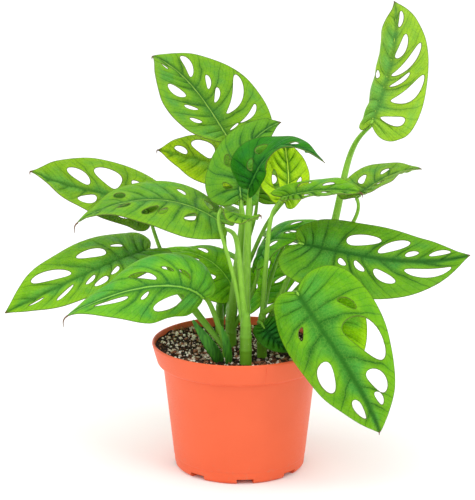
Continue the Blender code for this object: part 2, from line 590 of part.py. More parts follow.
def window(hole):
    """The flat outline of a window between two side veins, a little narrower at its inner end."""
    inner, outer, start, stop, width = hole
    turn = np.linspace(0, 2 * np.pi, WINDOW_POINTS, endpoint=False)
    share = 0.5 + 0.5 * np.cos(turn)
    margin = inner + (outer - inner) * share
    margin = margin + width * np.sin(turn) * (1 - WINDOW_TAPER + 2 * WINDOW_TAPER * share)
    return flat_point(margin, start + (stop - start) * share)


def inside_ring(points, ring):
    """Which points lie inside a closed ring, by counting the ring's edges to their right."""
    x, y = points[:, :1], points[:, 1:]
    a, b = ring, np.roll(ring, -1, axis=0)
    crosses = (a[:, 1] > y) != (b[:, 1] > y)
    rise = np.where(b[:, 1] == a[:, 1], 1.0, b[:, 1] - a[:, 1])
    return (np.sum(crosses & (x < a[:, 0] + (y - a[:, 1]) * (b[:, 0] - a[:, 0]) / rise), axis=1)
            % 2 == 1)


def blade_net(row):
    """The flat blade as points (share of length, share of half width, side) and triangles."""
    length = np.sum(np.linalg.norm(np.diff(bezier(row["midrib"], np.linspace(0, 1, 61)), axis=0),
                                   axis=1))
    size = {1: np.array((length, row["width"][1])), -1: np.array((length, row["width"][0]))}
    margin = np.linspace(0, 1, row["outline"] + 1)
    half = flat_point(margin, np.ones_like(margin))
    spine = np.linspace(0, 1, MIDRIB_STEPS)[1:-1]
    rows = [np.column_stack([half, np.ones(len(half))]),
            np.column_stack([half[1:-1], -np.ones(len(half) - 2)]),
            np.column_stack([spine, np.zeros(len(spine)), np.ones(len(spine))])]
    count = len(half)
    left_start = count
    ring = list(range(count)) + list(range(left_start + count - 3, left_start - 1, -1))
    spine_start = 2 * count - 2
    spine_run = [0] + list(range(spine_start, spine_start + len(spine))) + [count - 1]
    edges = list(zip(ring, ring[1:] + ring[:1])) + list(zip(spine_run, spine_run[1:]))
    holes = []
    for side, key in ((1, "right"), (-1, "left")):
        for hole in row[key]:
            start = sum(map(len, rows))
            cut = window(hole)
            rows.append(np.column_stack([cut, np.full(len(cut), side)]))
            run = list(range(start, start + len(cut)))
            edges += list(zip(run, run[1:] + run[:1]))
            holes.append(run)
    fixed = np.concatenate(rows)
    inner = []
    for side in (1, -1):
        for place in np.linspace(0.14, 0.86, max(3, row["outline"] // 3)):
            for reach in (0.36, 0.72):
                spot = flat_point(np.array([place]), np.array([reach]))[0]
                gap = (fixed[fixed[:, 2] == side][:, :2] - spot) * size[side]
                if np.min(np.linalg.norm(gap, axis=1)) > POINT_SPACE:
                    inner.append((spot[0], spot[1], side))
    net = np.concatenate([fixed, np.array(inner)]) if inner else fixed
    widths = np.where(net[:, 2] > 0, size[1][1], size[-1][1])
    flat = np.stack([net[:, 0] * length, net[:, 1] * widths * net[:, 2]], axis=1)
    made = delaunay_2d_cdt([Vector(p) for p in flat], edges, [], 0, 1e-5)
    places = np.array([list(v) for v in made[0]])
    source = np.array([ids[0] for ids in made[3]])
    triangles = np.array([face for face in made[2]])
    middle = places[triangles].mean(axis=1)
    keep = inside_ring(middle, flat[ring])
    for run in holes:
        keep &= ~inside_ring(middle, flat[run])
    return net[source], triangles[keep]


def build_blade(name):
    """One leaf blade: its flat net bent into place and given its thickness by Solidify."""
    row = BLADES[name]
    net, triangles = blade_net(row)
    points = bend(row, net[:, 0], net[:, 1], net[:, 2])
    mesh = bpy.data.meshes.new(name)
    mesh.from_pydata((points * MM).tolist(), [], triangles.tolist())
    obj = add_object(name, mesh, material(f"{name}_green", GREENS["blade"], 0.35))
    thicken = obj.modifiers.new("thickness", "SOLIDIFY")
    thicken.thickness = BLADE_THICKNESS * MM
    thicken.offset = 0.0
    smooth(mesh, 60)


clear_scene()
build_pot()
build_soil()
strap = strap_section()
for shoot_name in SHOOTS:
    build_shoot(shoot_name, strap)
bpy.data.objects.remove(strap, do_unlink=True)
for blade_name in BLADES:
    build_blade(blade_name)
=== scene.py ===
"""The looks of a potted Monstera adansonii: a moulded nursery pot, potting mix with perlite and
bark, five leafy shoots and their windowed blades.

Lengths are in millimetres and become metres where a mesh or a pattern is made. The origin is the
middle of the pot's foot, +Z is up and -Y is the front of the plant.
"""

import bpy
import numpy as np
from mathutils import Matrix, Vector
from mathutils.geometry import delaunay_2d_cdt


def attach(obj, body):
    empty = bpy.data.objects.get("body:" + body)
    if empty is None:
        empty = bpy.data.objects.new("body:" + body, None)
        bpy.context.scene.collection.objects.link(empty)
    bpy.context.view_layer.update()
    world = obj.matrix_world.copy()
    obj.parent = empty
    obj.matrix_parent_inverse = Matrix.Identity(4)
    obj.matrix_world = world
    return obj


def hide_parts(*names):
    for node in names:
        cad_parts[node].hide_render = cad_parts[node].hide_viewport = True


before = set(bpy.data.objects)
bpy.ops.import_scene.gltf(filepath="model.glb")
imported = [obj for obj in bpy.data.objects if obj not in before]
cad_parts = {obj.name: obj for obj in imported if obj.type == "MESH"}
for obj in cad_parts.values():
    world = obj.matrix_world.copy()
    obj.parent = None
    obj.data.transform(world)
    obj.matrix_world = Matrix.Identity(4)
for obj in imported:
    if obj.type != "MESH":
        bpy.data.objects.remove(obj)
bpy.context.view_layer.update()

# The pot is one injection-moulded shell of matt terracotta-coloured plastic: a flared rim band, a
# stepped-in body with a fine ledge low down, and a foot ring cut by eight drainage notches. It
# stands free on its foot and carries everything else.
MM = 0.001
POT_TURNS = 180
# Radius, height and cut-back of each corner, from the floor up the inside, over the rim, down the
# outside and back under the foot.
POT_CORNERS = (
    (4.0, 2.0, 0.0), (28.0, 2.0, 0.8), (30.4, 4.4, 0.8), (42.9, 4.4, 3.0), (50.9, 70.9, 1.5),
    (54.8, 74.1, 2.0), (58.1, 87.2, 0.4), (58.6, 88.0, 0.3), (59.4, 88.0, 0.35),
    (60.0, 87.0, 0.6), (59.3, 84.4, 0.0), (58.5, 81.5, 0.0), (56.4, 74.1, 0.9),
    (54.9, 72.5, 0.7), (52.5, 72.5, 0.8), (45.45, 8.4, 0.15), (45.15, 7.9, 0.15),
    (44.85, 3.6, 0.0), (44.83, 3.4, 0.0), (44.6, 1.4, 0.8), (43.1, 0.0, 0.5), (38.0, 0.0, 0.4),
    (37.0, 2.4, 0.4), (30.0, 2.4, 0.4), (29.0, 0.0, 0.3), (4.0, 0.0, 0.0),
)
# Turns are in degrees. A notch's side wall rises over twice the cut.
NOTCH_COUNT, NOTCH_HEIGHT, NOTCH_TURN, NOTCH_HALF = 8, 3.5, 4.7, 7.4
NOTCH_INSIDE, NOTCH_CUT = 37.5, 0.03
# The mould mark is a narrow strip pressed into the rim band between two heights, with sides that
# slope over the outer steps of its half width. Only what lies outside the last radius is pressed.
MARK_TURN, MARK_HALF, MARK_DEPTH = 17.0, 0.35, 0.3
MARK_STEPS, MARK_PRESSED = (-1.0, -0.6, 0.6, 1.0), 0.7
MARK_LOW, MARK_HIGH, MARK_INSIDE = 81, 85, 58.3
TERRACOTTA, PALE_TERRACOTTA = (0.74, 0.102, 0.028), (0.80, 0.122, 0.036)
SCUFFED, DAMP = (0.62, 0.17, 0.085), (0.33, 0.09, 0.045)
PLASTIC_CLOUD, PLASTIC_GRAIN, SCUFF_SIZE, DAMP_SIZE = 26, 0.9, 3.2, 5.0
SCUFF_TOP, SCUFF_SHARE = 22, 0.55
DAMP_START, DAMP_FULL, DAMP_SHARE = 86.5, 83.0, 0.25
GRAIN_DEPTH = 0.03


def rounded(corners, steps=5):
    """The outline through the corners, each cut back by its own distance along both sides and
    bridged there by a parabola that touches them: the corner, plus one side times the square of
    what is left, plus the other times the square of the share. The two ends stay as they are."""
    corners = np.asarray(corners, float)
    place, cut = corners[1:-1, :2], corners[1:-1, 2:]
    before, after = corners[:-2, :2] - place, corners[2:, :2] - place
    before *= cut / np.linalg.norm(before, axis=1, keepdims=True)
    after *= cut / np.linalg.norm(after, axis=1, keepdims=True)
    share = np.linspace(0, 1, steps)[:, None, None]
    arcs = place + before * (1 - share) ** 2 + after * share ** 2
    arcs = arcs.transpose(1, 0, 2)
    arcs = np.concatenate([arc if size > 0 else arc[:1] for arc, size in zip(arcs, cut[:, 0])])
    return np.concatenate([corners[:1, :2], arcs, corners[-1:, :2]])


def grid_faces(rows, turns, start=0):
    """The four-sided faces of a closed tube of points, ring after ring, and a face at each end."""
    ring, step = np.meshgrid(np.arange(rows - 1), np.arange(turns), indexing="ij")
    this, beside = ring * turns + step, ring * turns + (step + 1) % turns
    sides = np.stack([this, beside, beside + turns, this + turns], axis=-1)
    sides = sides.reshape(-1, 4) + start
    first = np.arange(turns)[::-1] + start
    last = np.arange(turns) + (rows - 1) * turns + start
    return sides.tolist() + [first.tolist(), last.tolist()]


def soften(mesh, sharp):
    """Smooth shading, apart from edges that turn by more than the sharp angle in degrees."""
    mesh.shade_smooth()
    mesh.set_sharp_from_angle(angle=np.radians(sharp))


def raw_mesh(name, points, faces):
    """A mesh in metres from points in millimetres and their faces."""
    mesh = bpy.data.meshes.new(name)
    mesh.from_pydata((np.asarray(points) * MM).tolist(), [], faces)
    return mesh


def placed(name, data):
    """An object of the scene that shows a mesh, a light or a camera."""
    made = bpy.data.objects.new(name, data)
    bpy.context.scene.collection.objects.link(made)
    return made


def piece(name, points, faces, skins, replaced=(), sharp=40):
    """Makes one piece of the object from its points in millimetres and its faces."""
    mesh = raw_mesh(name, points, faces)
    for one in skins:
        mesh.materials.append(one)
    made = placed(name, mesh)
    soften(mesh, sharp)
    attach(made, "root")
    if replaced:
        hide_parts(*replaced)
    return made


def node(tree, kind, *inputs, out=0, **settings):
    """Adds a shader node with its settings and returns one of its outputs. The inputs feed its
    sockets in order: an output is linked, a number or a colour is set, None is left alone."""
    made = tree.nodes.new("ShaderNode" + kind)
    for key, value in settings.items():
        setattr(made, key, value)
    for socket, value in zip(made.inputs, inputs):
        if isinstance(value, bpy.types.NodeSocket):
            tree.links.new(value, socket)
        elif value is not None:
            socket.default_value = value
    return made.outputs[out]


def here(tree):
    """The place on the piece, in metres of the object's own frame."""
    return node(tree, "TexCoord", out=3)


def ramp(tree, value, low, high, to_low=0.0, to_high=1.0):
    """Carries a value smoothly from one range to another and holds it at both ends."""
    return node(tree, "MapRange", value, low, high, to_low, to_high,
                interpolation_type="SMOOTHSTEP")


def sums(tree, operation, *values):
    """One step of arithmetic, named as Blender names it."""
    return node(tree, "Math", *values, operation=operation)


def product(tree, first, *others):
    """All the values multiplied."""
    for other in others:
        first = sums(tree, "MULTIPLY", first, other)
    return first


def tint(tree, share, one, other):
    """The mix of two colours, by share."""
    one, other = ((*c, 1.0) if isinstance(c, tuple) else c for c in (one, other))
    return node(tree, "Mix", share, None, None, None, None, None, one, other, out=2,
                data_type="RGBA")


def noise(tree, size, detail=3.0, where=None):
    """Soft noise with spots of about this size in millimetres, from 0 to 1."""
    return node(tree, "TexNoise", where or here(tree), None, 1 / (MM * size), detail)


def drawn_out(tree, share):
    """The place with its height squeezed to a share, so that a pattern runs along the height."""
    return node(tree, "Mapping", here(tree), None, None, (1.0, 1.0, share))


def skin(name, build, roughness=0.5, specular=0.5):
    """A material with one Principled shader. build(tree) returns its colour, its roughness or
    None, and its bump height in metres or None."""
    made = bpy.data.materials.new(name)
    made.use_nodes = True
    tree = made.node_tree
    shader = tree.nodes["Principled BSDF"]
    colour, rough, height = build(tree)
    tree.links.new(colour, shader.inputs["Base Color"])
    shader.inputs["Roughness"].default_value = roughness
    shader.inputs["Specular IOR Level"].default_value = specular
    if rough is not None:
        tree.links.new(rough, shader.inputs["Roughness"])
    if height is not None:
        bump = tree.nodes.new("ShaderNodeBump")
        bump.inputs["Distance"].default_value = 1.0
        tree.links.new(height, bump.inputs["Height"])
        tree.links.new(bump.outputs["Normal"], shader.inputs["Normal"])
    return made


def plastic(tree):
    """Terracotta plastic: a faint cloudy tone, fine moulding grain, scuffs that fade out above
    the foot, and a damp stain inside, over the mix. The inside is where the surface looks to the
    axis: its normal times the way out from the axis is less than nothing."""
    height = node(tree, "SeparateXYZ", here(tree), out=2)
    grain = noise(tree, PLASTIC_GRAIN, 2.0)
    colour = tint(tree, noise(tree, PLASTIC_CLOUD, 4.0), TERRACOTTA, PALE_TERRACOTTA)
    scuff = product(tree, ramp(tree, noise(tree, SCUFF_SIZE, 6.0), 0.56, 0.72),
                    ramp(tree, height, 0.0, SCUFF_TOP * MM, SCUFF_SHARE, 0.0))
    colour = tint(tree, scuff, colour, SCUFFED)
    out = node(tree, "VectorMath", here(tree), (1.0, 1.0, 0.0), operation="MULTIPLY")
    facing = node(tree, "VectorMath", node(tree, "NewGeometry", out=1), out,
                  operation="DOT_PRODUCT", out=1)
    damp = product(tree, ramp(tree, noise(tree, DAMP_SIZE, 5.0), 0.35, 0.7),
                   ramp(tree, height, DAMP_START * MM, DAMP_FULL * MM, 0.0, DAMP_SHARE),
                   ramp(tree, facing, 0.0, -0.01))
    colour = tint(tree, damp, colour, DAMP)
    return colour, ramp(tree, grain, 0.3, 0.7, 0.40, 0.52), product(tree, grain, GRAIN_DEPTH * MM)


def pot_points():
    """The outline turned about the axis. Inside each notch the foot is lifted to the notch's
    height, and at the mould mark the rim is pressed in over a narrow strip. Notches and mark
    bring their own turns, so that their edges are crisp."""
    profile = rounded(POT_CORNERS)
    turn = np.linspace(0, 360, POT_TURNS, endpoint=False)
    middles = NOTCH_TURN + 360 / NOTCH_COUNT * np.arange(NOTCH_COUNT)
    edges = (middles[:, None] + np.array((-1, 1, -1, 1)) * NOTCH_CUT
             + np.array((-1, -1, 1, 1)) * NOTCH_HALF)
    mark = MARK_TURN + MARK_HALF * np.array(MARK_STEPS)
    turn = np.unique(np.concatenate([turn, edges.ravel() % 360, mark]))
    radius, height = (np.repeat(profile[:, k:k + 1], len(turn), axis=1) for k in (0, 1))
    off = np.abs((turn[None] - middles[:, None] + 180) % 360 - 180).min(axis=0)
    notched = (off < NOTCH_HALF) & (radius > NOTCH_INSIDE) & (height < NOTCH_HEIGHT)
    height = np.where(notched, NOTCH_HEIGHT, height)
    pressed = ((np.abs(turn - MARK_TURN) < MARK_PRESSED * MARK_HALF)
               & (height > MARK_LOW) & (height < MARK_HIGH))
    radius = radius - MARK_DEPTH * (pressed & (radius > MARK_INSIDE))
    angle = np.radians(turn)
    points = np.stack([radius * np.sin(angle), -radius * np.cos(angle), height], axis=-1)
    return points.reshape(-1, 3), len(profile), len(turn)


points, rows, turns = pot_points()
piece("nursery_pot", points, grid_faces(rows, turns),
      [skin("terracotta_plastic", plastic, specular=0.4)], ["pot"])

# The potting mix is dark peat, closed against the pot's wall and heaped a little at the left,
# strewn with crumbs of peat, white perlite and chips of bark that lie half sunk in it.
SOIL_TOP, SOIL_EDGE, SOIL_DISH = 82.4, 56.4, 0.5
SOIL_RINGS, SOIL_TURNS, SOIL_MIDDLE = 74, 144, 1.0
# The mix against the pot, as radius and height from its edge down to the floor.
SOIL_WALL = ((56.5, 81.6), (54.5, 74.7), (50.6, 71.2), (42.5, 4.8), (4.0, 4.8))
# Each kind of lump: its height, its breadth and its seed.
SOIL_LUMPS = ((0.40, 17, 3), (0.28, 4.5, 4))
# The heap: its height, how much further out the mix reaches there and by what power of the way,
# how its foot slants, where it starts left of the middle and over what run it rises.
HEAP_HEIGHT, HEAP_WIDER, HEAP_POWER = 3.0, 0.9, 6
HEAP_SKEW, HEAP_START, HEAP_RUN = 0.15, 8, 42
# Each stem: where it stands in the mix, its radius and the height of its top.
STEMS = {
    "shoot_middle": {"foot": (4, -36), "radius": 4.0, "top": 118},
    "shoot_left": {"foot": (-9, -24), "radius": 2.8, "top": 100},
    "shoot_right": {"foot": (15, -20), "radius": 3.4, "top": 114},
    "shoot_back": {"foot": (-6, 6), "radius": 3.8, "top": 116},
    "shoot_rear": {"foot": (-14, 38), "radius": 3.0, "top": 108},
}
# The plain form of a grain: twenty triangles between twelve corners on a ball of radius 1,
# which stand on three crossed oblongs whose sides are in the golden ratio.
GOLD = (1 + 5 ** 0.5) / 2
LUMP = np.array([(-1, GOLD, 0), (1, GOLD, 0), (-1, -GOLD, 0), (1, -GOLD, 0), (0, -1, GOLD),
                 (0, 1, GOLD), (0, -1, -GOLD), (0, 1, -GOLD), (GOLD, 0, -1), (GOLD, 0, 1),
                 (-GOLD, 0, -1), (-GOLD, 0, 1)]) / np.hypot(1, GOLD)
LUMP_FACES = np.array([(0, 11, 5), (0, 5, 1), (0, 1, 7), (0, 7, 10), (0, 10, 11), (1, 5, 9),
                       (5, 11, 4), (11, 10, 2), (10, 7, 6), (7, 1, 8), (3, 9, 4), (3, 4, 2),
                       (3, 2, 6), (3, 6, 8), (3, 8, 9), (4, 9, 5), (2, 4, 11), (6, 2, 10),
                       (8, 6, 7), (9, 8, 1)])
# Each kind of grain: how many, how deep it sits, its largest radius from the small to the rare
# large ones, how slim it is in its other two directions, how rough its form is, its two end
# colours, the size of its specks and its roughness.
GRAINS = {
    "peat_crumbs": {"count": 3600, "sink": 0.1, "size": (0.45, 1.5), "slim": (0.6, 1.0),
                    "jitter": 0.3, "dark": (0.005, 0.003, 0.002), "light": (0.075, 0.038, 0.022),
                    "speck": 0.7, "rough": 0.95},
    "perlite": {"count": 1250, "sink": 0.0, "size": (0.5, 1.9), "slim": (0.7, 1.0),
                "jitter": 0.22, "dark": (0.45, 0.29, 0.19), "light": (1.0, 0.94, 0.84),
                "speck": 0.8, "rough": 0.85},
    "bark_chips": {"count": 700, "sink": -0.1, "size": (1.0, 3.0), "slim": (0.22, 0.5),
                   "jitter": 0.25, "dark": (0.045, 0.016, 0.008), "light": (0.42, 0.17, 0.08),
                   "speck": 1.1, "rough": 0.8},
}
FEW_LARGE, SPECK_DEPTH = 2.2, 0.2
# Grains lie this far inside the mix's edge and off the stems, over a little more than one turn.
STREWN_INSIDE, STREWN_CLEAR, STREWN_TURN = 1.2, 0.6, 7
PEAT_BLACK, PEAT_FIBRE, PEAT_DEPTH = (0.006, 0.003, 0.002), (0.045, 0.024, 0.014), 0.8


def waves(x, y, size, seed, count=24):
    """Uneven ground: cosine waves of about one size that run in all directions, added up."""
    random = np.random.default_rng(seed)
    turn, shift = random.uniform(0, 2 * np.pi, (2, count))
    number = 2 * np.pi / (size * random.uniform(0.6, 1.6, count))
    run = x[..., None] * np.cos(turn) + y[..., None] * np.sin(turn)
    return np.cos(run * number + shift).sum(axis=-1) / np.sqrt(count)


def heap(x, y):
    """How far the mix is heaped against the left wall: a smooth step from 0 to 1."""
    share = np.clip((-x - HEAP_SKEW * y - HEAP_START) / HEAP_RUN, 0, 1)
    return share * share * (3 - 2 * share)


def ground(x, y):
    """The height of the mix: a shallow dish towards the middle, the heap and the lumps. The dish
    rises with the square of the distance from the axis."""
    high = SOIL_TOP - SOIL_DISH + SOIL_DISH * (np.hypot(x, y) / SOIL_EDGE) ** 2
    high = high + HEAP_HEIGHT * heap(x, y)
    for height, size, seed in SOIL_LUMPS:
        high = high + height * waves(x, y, size, seed)
    return high


def mix_rings():
    """The mix as rings: over the ground from the middle to the edge, then down the wall. Where
    the mix is heaped it reaches further out, by a high power of the distance from the axis."""
    turn = np.radians(np.linspace(0, 360, SOIL_TURNS, endpoint=False))
    reach = np.linspace(SOIL_MIDDLE, SOIL_EDGE, SOIL_RINGS)[:, None]
    x, y = reach * np.sin(turn), -reach * np.cos(turn)
    wider = 1 + HEAP_WIDER / SOIL_EDGE * (reach / SOIL_EDGE) ** HEAP_POWER * heap(x, y)
    top = np.stack([x * wider, y * wider, ground(x, y)], axis=-1)
    wall = np.array(SOIL_WALL)
    side = np.stack([wall[:, :1] * np.sin(turn), -wall[:, :1] * np.cos(turn),
                     np.repeat(wall[:, 1:], len(turn), axis=1)], axis=-1)
    return np.concatenate([top, side])


def grains(shape, faces, middles, sizes, jitter, seed):
    """Many copies of one rough grain: each corner is pushed out or in at random, and each grain
    is stretched to its size, turned at random and set at its middle. The turn is that of a
    random unit quaternion, written out as a matrix."""
    random = np.random.default_rng(seed)
    count = len(middles)
    corners = shape * random.uniform(1 - jitter, 1 + jitter, (count, len(shape), 1))
    spin = random.normal(size=(count, 4))
    w, x, y, z = (spin / np.linalg.norm(spin, axis=1, keepdims=True)).T
    turn = np.stack([1 - 2 * (y * y + z * z), 2 * (x * y - z * w), 2 * (x * z + y * w),
                     2 * (x * y + z * w), 1 - 2 * (x * x + z * z), 2 * (y * z - x * w),
                     2 * (x * z - y * w), 2 * (y * z + x * w), 1 - 2 * (x * x + y * y)],
                    axis=-1).reshape(-1, 3, 3)
    made = np.einsum("nij,nkj->nki", turn, corners * sizes[:, None]) + middles[:, None]
    each = faces[None] + (np.arange(count) * len(shape))[:, None, None]
    return made.reshape(-1, 3), each.reshape(-1, 3).tolist(), random.uniform(0, 1, count)


def strewn(count, seed, sink):
    """Places spread evenly over the mix and clear of the stems, sunk into it. The distance from
    the axis goes with the square root of a random share, so no place is favoured."""
    random = np.random.default_rng(seed)
    reach = (SOIL_EDGE - STREWN_INSIDE) * np.sqrt(random.uniform(0, 1, count))
    turn = random.uniform(0, STREWN_TURN, count)
    x, y = reach * np.cos(turn), reach * np.sin(turn)
    clear = np.ones(count, bool)
    for stem in STEMS.values():
        clear &= np.hypot(x - stem["foot"][0], y - stem["foot"][1]) > stem["radius"] + STREWN_CLEAR
    x, y = x[clear], y[clear]
    return np.stack([x, y, ground(x, y) - sink], axis=1), random


def give_value(mesh, name, values):
    """Stores one value at each point of a mesh, for its material to read."""
    store = mesh.attributes.new(name, "FLOAT", "POINT")
    store.data.foreach_set("value", values.astype(np.float32))


def grain_skin(name, kind):
    """A rough mineral or woody grain: its own shade, then specks and pits of about a size."""
    def build(tree):
        own = node(tree, "Attribute", attribute_name="shade", out=2)
        specks = noise(tree, kind["speck"], 5.0)
        share = sums(tree, "ADD", product(tree, own, 0.75),
                     ramp(tree, specks, 0.3, 0.7, -0.15, 0.35))
        return (tint(tree, share, kind["dark"], kind["light"]), None,
                product(tree, specks, SPECK_DEPTH * MM))
    return skin(name + "_grain", build, kind["rough"], 0.25)


def peat(tree):
    """Moist peat: black-brown with paler fibres, rough all over."""
    colour = tint(tree, ramp(tree, noise(tree, 1.4, 6.0), 0.35, 0.75), PEAT_BLACK, PEAT_FIBRE)
    return colour, None, product(tree, noise(tree, 1.0, 8.0), PEAT_DEPTH * MM)


rings = mix_rings()
piece("peat_mix", rings.reshape(-1, 3), grid_faces(len(rings), SOIL_TURNS),
      [skin("moist_peat", peat, 0.95, 0.2)], ["potting_mix"], sharp=180)
for seed, (name, kind) in enumerate(GRAINS.items(), 11):
    middles, random = strewn(kind["count"], seed, kind["sink"])
    low, high = kind["size"]
    size = low + (high - low) * random.uniform(0, 1, (len(middles), 1)) ** FEW_LARGE
    slim = random.uniform(*kind["slim"], (len(middles), 2))
    sizes = size * np.concatenate([np.ones_like(size), slim], axis=1)
    points, faces, shades = grains(LUMP, LUMP_FACES, middles, sizes, kind["jitter"], seed + 20)
    made = piece(name, points, faces, [grain_skin(name, kind)], sharp=28)
    give_value(made.data, "shade", np.repeat(shades, len(LUMP)))

# The blades are thin waxy leaves with rows of natural windows between their side veins, set in
# furrows on the upper side and raised below. Each is one bent sheet with a ridged rib beneath it,
# grown on to the end of its stalk.
HALF_OUTLINE = (
    (0.0, 0.0), (-0.045, 0.16), (-0.07, 0.40), (-0.04, 0.68), (0.06, 0.92), (0.20, 1.0),
    (0.38, 0.965), (0.57, 0.81), (0.75, 0.54), (0.88, 0.26), (0.95, 0.095), (1.0, 0.0),
)
VEIN_REACH, VEIN_BOW = 2.0, 1.5
# About how far apart the side veins run, how far off the first and the last window, and the
# share of a wide gap between two windows that lies on the near side of each vein in it.
VEIN_SPACE, VEIN_CLEAR, VEIN_SHARE = 0.105, 0.015, 0.2
WINDOW_TAPER = 0.25
# Windows that more than one blade has.
TWO_PAIRS = {
    "left": ((0.48, 0.52, 0.30, 0.64, 0.036), (0.68, 0.71, 0.30, 0.60, 0.03)),
    "right": ((0.50, 0.54, 0.30, 0.64, 0.036), (0.70, 0.73, 0.30, 0.60, 0.03)),
}
THREE_PAIRS = {
    "left": ((0.42, 0.46, 0.30, 0.66, 0.040), (0.58, 0.62, 0.28, 0.66, 0.040),
             (0.74, 0.78, 0.30, 0.62, 0.032)),
    "right": ((0.44, 0.48, 0.30, 0.66, 0.040), (0.60, 0.64, 0.28, 0.66, 0.040),
              (0.76, 0.80, 0.30, 0.62, 0.032)),
}
